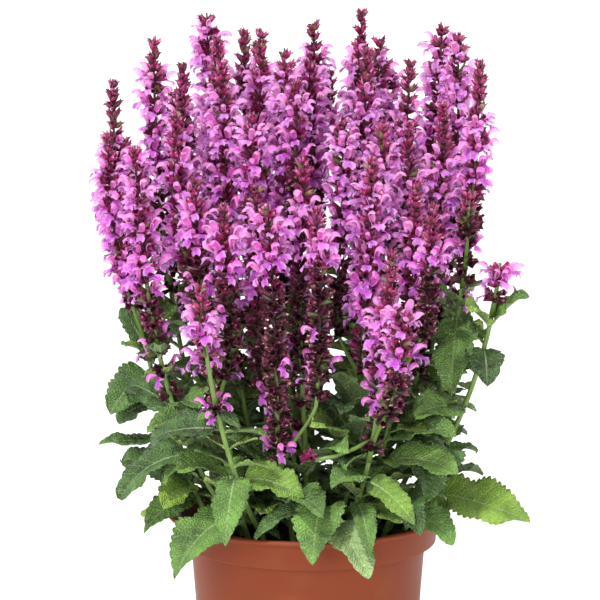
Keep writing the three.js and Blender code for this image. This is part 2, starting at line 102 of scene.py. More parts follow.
def lathe(profile, sides):
    """Corners and faces of a closed body turned about the upright axis."""
    turns = np.arange(sides) * (2 * math.pi / sides)
    points = [(r * math.cos(a), r * math.sin(a), z) for r, z in profile[1:-1] for a in turns]
    first, last = len(points), len(points) + 1
    points += [(0, 0, profile[0][1]), (0, 0, profile[-1][1])]
    faces = round_faces(len(profile) - 2, sides)
    top = first - sides
    for side in range(sides):
        after = (side + 1) % sides
        faces += [(first, after, side), (last, top + side, top + after)]
    return points, faces


def new_piece(name, points, faces, materials, slots=None, numbers=None, flat_map=None):
    """A mesh object from corners in millimetres. numbers are named values for each corner,
    slots the place of each face's material, and flat_map two lengths for each corner."""
    mesh = bpy.data.meshes.new(name)
    mesh.from_pydata(np.asarray(points, dtype=float) * MM, [], faces)
    for material in materials:
        mesh.materials.append(material)
    if slots is not None:
        mesh.polygons.foreach_set("material_index", np.asarray(slots, dtype=np.int32))
    mesh.polygons.foreach_set("use_smooth", np.ones(len(mesh.polygons), dtype=bool))
    for label, values in (numbers or {}).items():
        layer = mesh.attributes.new(label, "FLOAT", "POINT")
        layer.data.foreach_set("value", np.asarray(values, dtype=np.float32))
    if flat_map is not None:
        corner_of = np.empty(len(mesh.loops), dtype=np.int32)
        mesh.loops.foreach_get("vertex_index", corner_of)
        layer = mesh.uv_layers.new(name="along_the_leaf")
        layer.data.foreach_set("uv", np.asarray(flat_map, dtype=np.float32)[corner_of].ravel())
    mesh.update()
    piece = bpy.data.objects.new(name, mesh)
    bpy.context.scene.collection.objects.link(piece)
    return piece


def linear(colour):
    """An sRGB hex colour as the linear red, green, blue and alpha that Blender takes."""
    parts = [int(colour[place:place + 2], 16) / 255 for place in (1, 3, 5)]
    return [p / 12.92 if p <= 0.04045 else ((p + 0.055) / 1.055) ** 2.4 for p in parts] + [1.0]


# What the next node takes from each kind of shader node.
OUTPUTS = {
    "Attribute": "Fac", "Bump": "Normal", "MapRange": "Result", "Math": 0, "Mix": 2, "SeparateXYZ": "X",
    "TexCoord": "Object", "TexNoise": "Fac", "TexVoronoi": "Distance", "UVMap": "UV", "ValToRGB": "Color",
}


def feed(node, inputs):
    """Gives a shader node's inputs, by name or in order, their numbers, hex colours or links."""
    for name, value in inputs.items() if isinstance(inputs, dict) else enumerate(inputs):
        if isinstance(value, bpy.types.NodeSocket):
            node.id_data.links.new(value, node.inputs[name])
        else:
            node.inputs[name].default_value = linear(value) if isinstance(value, str) else value


def add(tree, kind, inputs=(), stops=(), **settings):
    """Adds a shader node with its settings, its links and, on a ramp, its places and colours.
    It gives back the output that the next node takes."""
    node = tree.nodes.new("ShaderNode" + kind)
    if kind == "Mix":
        node.data_type = "RGBA"
    for name, value in settings.items():
        setattr(node, name, value)
    feed(node, inputs)
    if stops:
        ramp = node.color_ramp.elements
        ramp[0].position, ramp[1].position = stops[0][0], stops[-1][0]
        for place, _ in stops[1:-1]:
            ramp.new(place)
        for element, (_, colour) in zip(ramp, stops):
            element.color = linear(colour)
    return node.outputs[OUTPUTS[kind]]


def new_finish(name, *numbers):
    """A material with its node tree, its Principled shader, the place on the piece in metres
    and those of the piece's own numbers that it is painted by."""
    material = bpy.data.materials.new(name)
    material.use_nodes = True
    tree = material.node_tree
    own = [add(tree, "Attribute", attribute_name=number) for number in numbers]
    return material, tree, tree.nodes["Principled BSDF"], add(tree, "TexCoord"), *own


# Polypropylene, moulded: an even terracotta pigment with a soft satin gloss. Fine mould grain
# and patches of dried potting dust keep it from looking like enamel.
pot_plastic, tree, shader, place = new_finish("moulded_polypropylene")
dust = add(tree, "TexNoise", {"Vector": place, "Scale": 1 / (22.2 * MM), "Detail": 6.0})
streaks = add(tree, "TexNoise", {"Vector": place, "Scale": 1 / (111 * MM), "Detail": 3.0})
pigment = add(tree, "Mix", {"Factor": streaks, 6: "#79361F", 7: "#854128"})
film = add(tree, "MapRange", {"Value": dust, "From Min": 0.5, "From Max": 0.8, "To Max": 0.35})
dusty = add(tree, "Mix", {"Factor": film, 6: pigment, 7: "#8A5036"})
satin = add(tree, "MapRange", {"Value": dust, "To Min": 0.36, "To Max": 0.52})
# The mould grain is drawn at 1.2 mm, coarser than the real 0.2 mm, so that it shows.
grain = add(tree, "TexNoise", {"Vector": place, "Scale": 1 / (1.2 * MM), "Detail": 2.0})
relief = add(tree, "Bump", {"Height": grain, "Strength": 0.06, "Distance": 0.2 * MM})
feed(shader, {
    "Base Color": dusty, "Roughness": satin, "Normal": relief, "IOR": 1.49, "Specular IOR Level": 0.12,
})

inside_base = BASE_RADIUS - POT_WALL
inside_body = BODY_RADIUS - POT_WALL
inside_band = BAND_RADIUS - POT_WALL
# Each point of the profile is a radius and a height, once round from the underside.
pot_profile = [
    (0, 0),
    *arc(BASE_RADIUS - FOOT_ROUND, FOOT_ROUND, FOOT_ROUND, -90, -4, 4),
    (BODY_RADIUS - 0.5, LEDGE_HEIGHT - 6),
    (BODY_RADIUS - 0.1, LEDGE_HEIGHT - 0.6),
    (BODY_RADIUS + 0.5, LEDGE_HEIGHT),
    *arc(BAND_RADIUS - LEDGE_ROUND, LEDGE_HEIGHT + LEDGE_ROUND, LEDGE_ROUND, -90, 0, 4),
    (BAND_RADIUS + 0.3, POT_HEIGHT - 9),
    (BAND_RADIUS + 0.7, POT_HEIGHT - 5.6),
    (BAND_RADIUS + 2.0, POT_HEIGHT - 4.4),
    (LIP_RADIUS - 1.6, POT_HEIGHT - 3.0),
    *arc(LIP_RADIUS - LIP_ROUND, POT_HEIGHT - 1.5, LIP_ROUND, -70, 90, 8),
    (LIP_RADIUS - 4, POT_HEIGHT - 0.4),
    (inside_band + 1.6, POT_HEIGHT - 2.6),
    (inside_band + 0.4, POT_HEIGHT - 5),
    (inside_band, LEDGE_HEIGHT + POT_WALL + 0.5),
    (inside_band - 0.5, LEDGE_HEIGHT + POT_WALL),
    (inside_body, LEDGE_HEIGHT + POT_WALL),
    (inside_base, POT_WALL),
    (0, POT_WALL),
]
points, faces = lathe(pot_profile, POT_SIDES)
pot = new_piece("nursery_pot", points, faces, [pot_plastic])

# The drain holes go straight through the base.
drill_points, drill_faces = [], []
for hole in range(DRAIN_HOLES):
    turn = (hole + 0.5) / DRAIN_HOLES * 2 * math.pi
    middle = np.array([DRAIN_CIRCLE * math.cos(turn), DRAIN_CIRCLE * math.sin(turn), 0])
    under, over = -1, POT_WALL + 1
    plug = [(0, under), (DRAIN_RADIUS, under), (DRAIN_RADIUS, over), (0, over)]
    corners, faces = lathe(plug, DRAIN_SIDES)
    drill_faces += [[corner + len(drill_points) for corner in face] for face in faces]
    drill_points += [middle + corner for corner in corners]
drill = new_piece("drain_drill", drill_points, drill_faces, [pot_plastic])
cut = pot.modifiers.new("drain_holes", "BOOLEAN")
cut.operation = "DIFFERENCE"
cut.solver = "EXACT"
cut.object = drill
bpy.context.view_layer.update()
drilled = bpy.data.meshes.new_from_object(pot.evaluated_get(bpy.context.evaluated_depsgraph_get()))
pot.modifiers.clear()
pot.data = drilled
bpy.data.objects.remove(drill)
pot.data.set_sharp_from_angle(angle=math.radians(SHARP_DEGREES))
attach(pot, "root")
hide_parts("pot")


# ------------------------------------------------------------------------------------------
# Soil. Damp peat with composted bark, filled in loose to just under the rim and settled. Its
# top is a crust of crumbs, with single lumps and bark chips lying on it.

SOIL_LEVEL = 118.0
SOIL_GAP = 0.35
SOIL_SIDES = 96
SOIL_RINGS = 32
CRUST_WAVES = 26
CRUST_WAVE_HEIGHT = 0.28
CRUMBS = 420
SMALLEST_CRUMB = 0.7
CRUMB_SIZES = 2.1
CRUMB_STRETCH = 1.4
CRUMB_UNEVEN = 0.3
CRUMB_PROUD = 0.25
EDGE_MARGIN = 5.0
FULL_TURN = 2 * math.pi


def sequence(seed):
    """Same sequence of values from 0 to 1 for the same seed."""
    state = seed
    while True:
        state = (state * 1664525 + 1013904223) % 4294967296
        yield state / 4294967296


def strewn(draw, spread):
    """A value by chance, up to half the spread to either side of 0."""
    return spread * (next(draw) - 0.5)


# Peat, sieved and wetted: near black and fully matt, with brown crumbs of bark in it.
peat, tree, shader, place = new_finish("sieved_peat_and_bark")
crumb = add(tree, "TexNoise", {"Vector": place, "Scale": 1 / (2.5 * MM), "Detail": 8.0})
tone = add(tree, "ValToRGB", {"Fac": crumb}, [(0.35, "#130E0B"), (0.72, "#4B382B")])
relief = add(tree, "Bump", {"Height": crumb, "Strength": 0.9, "Distance": 1.0 * MM})
feed(shader, {"Base Color": tone, "Normal": relief, "Roughness": 0.95, "Specular IOR Level": 0.2})

ledge = LEDGE_HEIGHT + POT_WALL + SOIL_GAP
soil_profile = [
    (0, POT_WALL + SOIL_GAP),
    (inside_base - SOIL_GAP, POT_WALL + SOIL_GAP),
    (inside_body - SOIL_GAP, ledge),
    (inside_band - SOIL_GAP, ledge),
    (inside_band - SOIL_GAP, SOIL_LEVEL - 2.2),
    *[(share * (inside_band - SOIL_GAP), SOIL_LEVEL - 0.6) for share in np.linspace(0.98, 0.02, SOIL_RINGS)],
    (0, SOIL_LEVEL),
]
points, soil_faces = lathe(soil_profile, SOIL_SIDES)
points = np.array(points)
draw = sequence(71)
waves = [(next(draw) * 0.5 + 0.08, next(draw) * 6.28, next(draw) * 6.28) for _ in range(CRUST_WAVES)]
crust = points[:, 2] > SOIL_LEVEL - 1
for pitch, turn, shift in waves:
    across = points[crust, 0] * math.cos(turn) + points[crust, 1] * math.sin(turn)
    points[crust, 2] += CRUST_WAVE_HEIGHT * np.sin(across * pitch * 2 + shift)

soil_points = [points]
count = len(points)
for _ in range(CRUMBS):
    turn, out = next(draw) * FULL_TURN, math.sqrt(next(draw)) * (inside_band - EDGE_MARGIN)
    size = SMALLEST_CRUMB + CRUMB_SIZES * next(draw) ** 3
    stretch = np.array([1 + CRUMB_STRETCH * next(draw), 1.0, 0.55 + 0.4 * next(draw)])
    heading = next(draw) * math.pi
    lump = bmesh.new()
    bmesh.ops.create_icosphere(lump, subdivisions=1, radius=size)
    corners = np.array([v.co for v in lump.verts]) * stretch
    corners *= 1 + np.array([strewn(draw, CRUMB_UNEVEN) for _ in corners])[:, None]
    c, s = math.cos(heading), math.sin(heading)
    corners = corners @ np.array([[c, s, 0], [-s, c, 0], [0, 0, 1]])
    corners += [out * math.cos(turn), out * math.sin(turn), SOIL_LEVEL + CRUMB_PROUD * size]
    soil_faces += [[v.index + count for v in f.verts] for f in lump.faces]
    soil_points.append(corners)
    count += len(corners)
    lump.free()
soil = new_piece("potting_soil", np.concatenate(soil_points), soil_faces, [peat])
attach(soil, "root")
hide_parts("soil")


# ------------------------------------------------------------------------------------------
# Leafy stems and shoots. Soft square stems, four-edged as on every sage, stand in the soil and
# spread like a fountain. Their leaves grow in opposite pairs, each pair crosswise to the next.

BEND_START = 120.0
ROOT_SHARE = 0.38
SPREAD_HEIGHT = 85.0
SWAY = 1.2
SWAY_LENGTH = 28.0
HOLE_FLOOR = 94.35
STEM_HALF_WIDTH = 1.55
STEM_STEP = 8.0
TALL_STEM = 160.0
TALL_TAPER = 0.84
SHORT_TAPER = 0.9
FORK_DROP = 26.0
HEAD_DROP = 6.0
SHOOT_LEAN = 0.008
STEM_JOINT = 4.35

# One entry for each stem. Each of its spikes is x, y at the top of the clump, then the
# heights of the tip, the highest and lowest open floret and the lowest ring of calyces.
# The first spike goes straight on from the stem and the others branch off it.
STEMS = [
    [(-118, 4, 391, 350, 262, 252), (-120, -25, 358, 335, 268, 258), (-127, 28, 317, 312, 288, 280)],
    [(-103, -56, 358, 343, 264, 250)],
    [(-94, 24, 411, 384, 318, 288), (-116, 50, 352, 325, 290, 286)],
    [(-75, -8, 402, 366, 290, 262), (-78, -41, 375, 343, 282, 268)],
    [(-61, 49, 427, 415, 305, 290), (-86, 68, 378, 350, 290, 285)],
    [(-51, -18, 402, 375, 285, 250), (-34, -39, 372, 360, 320, 250)],
    [(-55, 16, 415, 380, 300, 290), (-29, 16, 420, 388, 300, 290)],
    [(-40, 65, 416, 380, 305, 295), (-60, 94, 372, 345, 290, 285)],
    [(-12, 76, 394, 385, 300, 290), (-31, 102, 405, 388, 295, 285)],
    [(-14, -8, 410, 388, 295, 268), (-7, -31, 390, 375, 340, 290)],
    [(4, 49, 421, 400, 310, 290), (1, 18, 401, 385, 320, 300)],
    [(-4, -64, 352, 325, 284, 232), (-32, -66, 337, 315, 260, 195)],
    [(-68, -66, 338, 318, 292, 238), (-51, -88, 326, 305, 280, 222)],
    [(-66, -115, 284, 264, 234, 222)],
    [(-23, -94, 330, 318, 283, 190), (6, -94, 325, 305, 285, 212)],
    [(32, 61, 426, 398, 310, 300), (43, 33, 412, 395, 310, 300)],
    [(51, 86, 395, 382, 300, 290), (14, 98, 388, 362, 346, 336)],
    [(35, 0, 410, 378, 280, 262), (61, 6, 401, 370, 300, 285)],
    [(43, -43, 371, 345, 285, 245), (20, -37, 370, 355, 288, 240), (37, -68, 350, 330, 248, 228)],
    [(81, -18, 377, 342, 280, 256), (60, -29, 369, 335, 300, 262)],
    [(81, 43, 420, 405, 300, 285), (84, 76, 382, 350, 290, 285)],
    [(91, 8, 418, 398, 290, 272), (100, 34, 352, 325, 290, 275)],
    [(101, -31, 405, 368, 325, 302), (97, -58, 330, 315, 312, 300)],
    [(66, -60, 338, 305, 268, 242), (75, -88, 326, 300, 288, 240)],
    [(51, -95, 302, 262, 234, 224), (60, -127, 270, 262, 234, 204)],
    [(122, -40, 288, 278, 266, 264)],
]

# Leafy shoots without flowers: x, y at the soil and the height of the top.
SHOOTS = [(-56, -16, 150), (-34, -48, 152), (7, -58, 150), (43, -41, 150), (58, -4, 150)]

# The large leaves, by the stem or shoot that they grow from: height of the foot, x, y, z of
# the tip, lift of the arch, half width and roll in degrees.
LARGE_LEAVES = {
    "shoot_1": [(138, -97, -38, 124, 15, 10, -30), (146, -84, -54, 142, 12, 11, -20)],
    "shoot_2": [(136, -77, -97, 113, 22, 17, -12), (144, -52, -92, 166, 12, 12, 0)],
    "shoot_3": [
        (146, 2, -103, 122, 21, 15, 0), (133, 34, -99, 112, 21, 13, 15), (140, -22, -104, 132, 20, 8, -20),
    ],
    "shoot_4": [(138, 84, -76, 128, 13, 13, 25), (146, 62, -97, 140, 13, 10, 20)],
    "shoot_5": [(140, 130, -42, 131, 8, 17, 35), (146, 106, 8, 136, 8, 12, 0)],
    "stem_01": [
        (216, -84, -20, 242, 4, 11, 30), (212, -117, -22, 193, 7, 13, -25), (196, -64, -18, 194, 6, 11, 30),
        (194, -114, -6, 184, 6, 9, -30), (168, -124, -14, 173, 3, 7, -20),
    ],
    "stem_02": [(170, -112, -42, 146, 16, 13, -25), (200, -62, -66, 206, 6, 11, 20)],
    "stem_03": [(252, -96, -6, 241, 5, 9, -30), (244, -70, -2, 257, 5, 10, 30)],
    "stem_04": [(227, -80, -26, 256, 5, 12, -20)],
    "stem_10": [(222, 2, -44, 244, 6, 11, 0)],
    "stem_12": [(160, 22, -84, 186, 9, 13, 20), (146, -40, -70, 178, 8, 12, -30)],
    "stem_13": [(188, -92, -76, 202, 8, 12, -30), (160, -74, -80, 172, 9, 13, -30)],
    "stem_14": [(166, -47, -104, 133, 16, 11, 0), (164, -4, -90, 156, 9, 13, 30)],
    "stem_15": [(146, 8, -106, 153, 10, 12, 15)],
    "stem_18": [(226, 22, -34, 249, 6, 12, 0)],
    "stem_19": [
        (192, 14, -52, 222, 6, 11, 10), (188, 18, -66, 206, 8, 12, 0), (174, 48, -73, 194, 8, 13, 20),
        (156, 22, -82, 176, 10, 13, 0),
    ],
    "stem_21": [(250, 99, 10, 237, 5, 10, 25)],
    "stem_23": [(256, 76, -44, 270, 4, 10, -25), (252, 82, -52, 209, 12, 13, 10)],
    "stem_24": [(180, 84, -72, 192, 8, 12, 30), (166, 84, -88, 172, 10, 13, 25)],
    "stem_25": [
        (160, 14, -92, 172, 9, 10, -20), (160, 60, -98, 144, 10, 9, 25), (144, 35, -103, 128, 15, 7.5, 0),
    ],
    "stem_26": [
        (247, 126, -46, 268, 4, 9, 30), (247, 90, -56, 262, 4, 10, -30), (233, 103, -58, 217, 8, 11, 0),
        (236, 84, -28, 244, 4, 9, -20), (220, 79, -52, 222, 6, 12, -20), (196, 62, -66, 200, 8, 12, -35),
        (172, 45, -86, 162, 15, 15, -30),
    ],
}

# The tones of some large leaves, in the order above: 0 is darkest and 0.7 light and yellowish.
# The low tones of the left-hand stems stem_01 and stem_02 are painted shade.
LEAF_TONES_AND_SHADE = {"stem_01": (0.12, 0.2, 0.1, 0.15, 0.3), "stem_02": (0.15, 0.3), "shoot_5": (0.68, 0.3)}

# The rule for the smaller leaves, as in the solids: where the pairs stand and how they turn,
# how long the leaves are, how much shorter the higher ones, and how far out any of them reaches.
LOWEST_PAIR = 13.0
PAIR_SPACING = 32.0
SHOOT_PAIR_SPACING = 12.0
INNER_PAIRS = 4
BARE_TOP = 6.0
PAIR_TURN = 20.0
LOOSE_TURN = 24.0
LOOSE_FOOT = 3.0
LOW_LEAF = 60.0
SHORTER_WITH_HEIGHT = 0.18
SHORTEST_LEAF = 14.0
SMALLEST_LEAF = 0.85
LEAF_SIZES = 0.3
LEAF_ARCH = 0.16
LEAF_WIDTH = 0.26
LEAF_ROLL = 30.0
LEAF_CLIMB = 0.1
LOOSE_CLIMB = 0.5
OUTER_FALL = 0.3
OUTER_RADIUS = 84.0
LEAF_LIMIT = 98.0

# What a leaf gives way by where another is in its place: turned about its stem to one side and
# then the other in degrees, raised in millimetres and grown to a share of its length.
GIVE_WAY = [(side * turn, lifted, share) for turn, lifted, share in (
    (0, 0, 1), (9, 0, 1), (0, 7, 1), (9, 7, 1), (0, -7, 1), (18, 0, 1), (18, 8, 1), (0, 0, 0.8),
    (0, 14, 1), (12, 14, 1), (28, 0, 0.9), (28, 10, 0.9), (12, 6, 0.75), (0, 22, 0.9), (22, 20, 0.9),
    (30, 4, 0.7), (0, -6, 0.7),
) for side in ((1, -1) if turn else (1,))]
SAME_TIP = 0.5

# The little leaves in the leaf axils, which fill the clump below its flowers.
AXIL_FOOT = 126.0
AXIL_TOP = 290.0
AXIL_SPACING = 11.0
SHORTEST_AXIL = 16.25
AXIL_LENGTHS = 17.5
AXIL_TURN = 0.5
AXIL_CLIMB = 0.7
AXIL_DIP = 0.1
AXIL_ROLL = 0.6
AXIL_ARCH = 0.14
AXIL_WIDTH = 0.21
AXIL_LIMIT = 96.0
AXIL_FLARE = 0.2
AXIL_FLARE_FROM = 150.0
# A few of them stand where they show most: height of the foot, x, y, z of the tip, and roll.
SHOWN_AXILS = {
    "stem_01": [(226, -112, 10, 250, -0.7), (218, -86, 12, 243, 0.6), (224, -111, -6, 231, -0.3)],
    "stem_14": [(207, -38, -97, 199, 0.3), (207, -63, -95, 203, -0.3)],
}
SHOWN_ARCH = 0.12
SHOWN_WIDTH = 0.27

# A leaf by its two ends, the lift of its arch, its half width, its roll and its kind of blade.
Leaf = namedtuple("Leaf", "foot tip lift half_width roll blade")
# How finely each kind of leaf is drawn across, and the share of its length that is its stalk.
LARGE_BLADE = (10, 0.13)
RULE_BLADE = (6, 0.08)
SHOWN_BLADE = (4, 0.1)
AXIL_BLADE = (2, 0.1)


def spread_at(height):
    """How far out a stem stands at a height, as a share of its place at the top of the clump."""
    above = np.maximum(height - BEND_START, 0)
    return ROOT_SHARE + (1 - ROOT_SHARE) * (1 - np.exp(-above / SPREAD_HEIGHT))


def stem_centre(x, y, height):
    """The middle of a main stem at one height or several. It sways a little on its way up."""
    height = np.asarray(height, dtype=float)
    sway = SWAY * np.sin(np.maximum(height - BEND_START, 0) / SWAY_LENGTH) * math.cos(x + 2 * y)
    spread = spread_at(height)
    return np.stack([x * spread + sway, y * spread - sway, height], axis=-1)


def shoot_centre(x, y, height):
    """The middle of a leafy shoot, which leans straight outwards."""
    height = np.asarray(height, dtype=float)
    lean = 1 + SHOOT_LEAN * np.maximum(height - BEND_START, 0)
    return np.stack([x * lean, y * lean, height], axis=-1)


def fork_height(stem):
    """Where a stem's spikes part, or a single spike goes on from it."""
    return min(spike[5] for spike in stem) - (FORK_DROP if len(stem) > 1 else HEAD_DROP)


def turned_about(vectors, axes, angle):
    """Vectors turned about unit axes by an angle."""
    along = np.sum(vectors * axes, axis=-1, keepdims=True) * axes
    return along + (vectors - along) * math.cos(angle) + np.cross(axes, vectors) * math.sin(angle)


def held_inside(points):
    """One small part moved as a whole, so that it reaches no further than the solids do."""
    lowest, highest = np.array(cad_box) / MM
    return points + np.maximum(lowest - points.min(axis=0), 0) - np.maximum(points.max(axis=0) - highest, 0)


class Heap:
    """The corners, faces, materials and numbers of the many small parts of one mesh."""

    def __init__(self):
        self.points, self.faces, self.slots, self.flat_map = [], [], [], []
        self.numbers = {}
        self.count = 0

    def put(self, points, faces, slots=0, flat_map=None, **numbers):
        """Adds one part, with the place of its material or one for each face."""
        self.points.append(held_inside(np.asarray(points, dtype=float)))
        self.faces += [tuple(corner + self.count for corner in face) for face in faces]
        self.slots += slots if isinstance(slots, list) else [slots] * len(faces)
        self.flat_map.append(np.zeros((len(points), 2)) if flat_map is None else flat_map)
        for label, values in numbers.items():
            self.numbers.setdefault(label, []).append(np.broadcast_to(values, len(points)))
        self.count += len(points)

    def piece(self, name, materials):
        """The mesh object of all the parts."""
        numbers = {label: np.concatenate(values) for label, values in self.numbers.items()}
        return new_piece(name, np.concatenate(self.points), self.faces, materials,
                         self.slots, numbers, np.concatenate(self.flat_map))


def sheet_faces(rows, columns, start=0):
    """Faces of a sheet of corners that are numbered row after row."""
    ends = [start + row * columns for row in range(rows - 1)]
    return [(a, a + columns, a + columns + 1, a + 1) for end in ends for a in range(end, end + columns - 1)]


def sleeve(centres, outline, sizes):
    """Corners and faces of a rod along upright-ish centres, with a closed outline round it."""
    sides, rings = len(outline), len(centres)
    spots = [c + np.append(p, 0) * size for c, size in zip(centres, sizes) for p in outline]
    faces = round_faces(rings, sides)
    faces.append(tuple(range(sides - 1, -1, -1)))
    faces.append(tuple(range((rings - 1) * sides, rings * sides)))
    return np.array(spots), faces


# The blade: broadest a little below its middle, rounded at the stalk, drawn out to a point and
# scalloped along the edge. It is puckered between its side veins and folded along its midrib.
PETIOLE_HALF_WIDTH = 1.1
PETIOLE_TAPER = 0.8
FOOT_POWER = 0.42
TIP_POWER = 0.58
TIP_POWER_RANGE = 0.2
TOOTH_PITCH = 3.4
TOOTH_STEPS = 3
TOOTH_DEPTH = 0.11
FEWEST_TEETH = 6
BLADE_THICKNESS = 0.5
EDGE_THINNING = 0.6
LEAF_FOLD = 0.2
FOLD_POWER = 1.15
PUCKER = 1.2
PUCKER_POWER = 0.7
PUCKER_FROM = 0.3
BILLOW = 0.7
BILLOW_LENGTH = 4.6
BILLOW_WIDTH = 3.8
VEINS = 10
VEIN_SLANT = 0.8
GROOVE_DEPTH = 0.25
GROOVE_WIDTH = 0.9
RIB_DEPTH = 0.55
RIB_WIDTH = 0.8
RIB_FADE = 0.75
CURL_FROM = 0.7
CURL_DOWN = 0.3
CURL_RANGE = 0.5
# The slow and the quick waves that make a leaf uneven, in its outline and up and down along
# its edges: size as a share of the half width, turns along the leaf and their range, and how
# far its own tone and the side of the midrib shift them.
OUTLINE_WAVES = [(0.09, 6, 0, 9, 1.7), (0.06, 17, 0, 30, 2.6)]
EDGE_WAVES = [(0.16, 9, 5, 6, 2.2), (0.07, 26, 0, 40, 5)]


def ripple(waves, t, tone, side):
    """The height of some waves at a share of a leaf's length and a place beside its midrib."""
    return sum(size * np.sin(t * (turns + more * tone) + own * tone + aside * side)
               for size, turns, more, own, aside in waves)


def leaf_blade(heap, leaf, tone):
    """Puts one leaf into the heap: upper face, underside and the edge between them."""
    foot, tip, half_width = leaf.foot, np.array(leaf.tip, dtype=float), leaf.half_width
    across_steps, petiole_share = leaf.blade
    middle = (foot + tip) / 2 + [0, 0, leaf.lift]
    length = np.linalg.norm(tip - foot)
    steps = TOOTH_STEPS * max(int(length / TOOTH_PITCH), FEWEST_TEETH)
    t = np.linspace(0, 1, steps + 1)[:, None]
    line = foot * (1 - t) ** 2 + middle * 2 * t * (1 - t) + tip * t ** 2
    tangent = 2 * (1 - t) * (middle - foot) + 2 * t * (tip - middle)
    tangent /= np.linalg.norm(tangent, axis=1, keepdims=True)
    side = np.array([foot[1] - tip[1], tip[0] - foot[0], 0.0])
    side /= np.linalg.norm(side)
    across = turned_about(np.broadcast_to(side, line.shape), tangent, leaf.roll)
    up = np.cross(tangent, across)

    u = np.clip((t[:, 0] - petiole_share) / (1 - petiole_share), 0, 1)
    # How drawn out the point is differs from leaf to leaf, by the last digits of the tone.
    point = TIP_POWER + TIP_POWER_RANGE * ((7 * tone) % 1)
    both = FOOT_POWER + point
    broadest = FOOT_POWER ** FOOT_POWER * point ** point / both ** both
    blade = u ** FOOT_POWER * (1 - u) ** point / broadest
    scallop = 1 - TOOTH_DEPTH * (np.arange(steps + 1) % TOOTH_STEPS == 0) * (u > 0)
    stalk = PETIOLE_HALF_WIDTH * (1 - PETIOLE_TAPER * t[:, 0])
    width = np.maximum(half_width * blade * scallop, stalk)
    s = np.linspace(-1, 1, across_steps + 1)
    uneven = 1 + np.sin(np.pi * t) * ripple(OUTLINE_WAVES, t, tone, np.sign(s))
    x = width[:, None] * s * uneven
    y = t * length + 0 * x

    vein_pitch = length / VEINS
    swell = np.abs(np.sin(np.pi * (y - VEIN_SLANT * np.abs(x)) / vein_pitch)) ** PUCKER_POWER
    room = np.sin(np.pi * np.abs(s)) * (blade[:, None] > PUCKER_FROM)
    rise = LEAF_FOLD * np.abs(x) ** FOLD_POWER + PUCKER * swell * room
    rise += half_width * s ** 2 * ripple(EDGE_WAVES, t, tone, s)
    billow = np.sin(y / BILLOW_LENGTH + 2 * s + 20 * tone) * np.cos(x / BILLOW_WIDTH + 9 * tone)
    rise += BILLOW * billow * room - GROOVE_DEPTH * np.exp(-(x / GROOVE_WIDTH) ** 2)
    near_tip = np.clip(t - CURL_FROM, 0, 1) / (1 - CURL_FROM)
    rise += (CURL_RANGE * tone - CURL_DOWN) * half_width * near_tip ** 2
    upper = line[:, None] + across[:, None] * x[..., None] + up[:, None] * rise[..., None]
    rib = RIB_DEPTH * (1 - RIB_FADE * t) * np.exp(-(x / RIB_WIDTH) ** 2)
    thick = BLADE_THICKNESS * (1 - EDGE_THINNING * s ** 4) + rib
    lower = upper - up[:, None] * thick[..., None]

    columns, total = across_steps + 1, x.size
    faces = sheet_faces(steps + 1, columns)
    slots = [0] * len(faces) + [1] * len(faces)
    faces += [(a + total, d + total, c + total, b + total) for a, b, c, d in faces]
    end = steps * columns
    for p in range(0, end, columns):
        q = p + columns
        faces.append((p, p + total, q + total, q))
        p, q = p + across_steps, q + across_steps
        faces.append((p, q, q + total, p + total))
    for p in range(across_steps):
        faces.append((p, p + 1, p + 1 + total, p + total))
        faces.append((end + p, end + p + total, end + p + 1 + total, end + p + 1))
    slots += [0] * (len(faces) - len(slots))
    flat = np.stack([x.ravel(), y.ravel()], axis=-1) * MM
    heap.put(np.concatenate([upper.reshape(-1, 3), lower.reshape(-1, 3)]), faces, slots,
             np.concatenate([flat, flat]), tone=tone, vein_pitch=vein_pitch * MM)


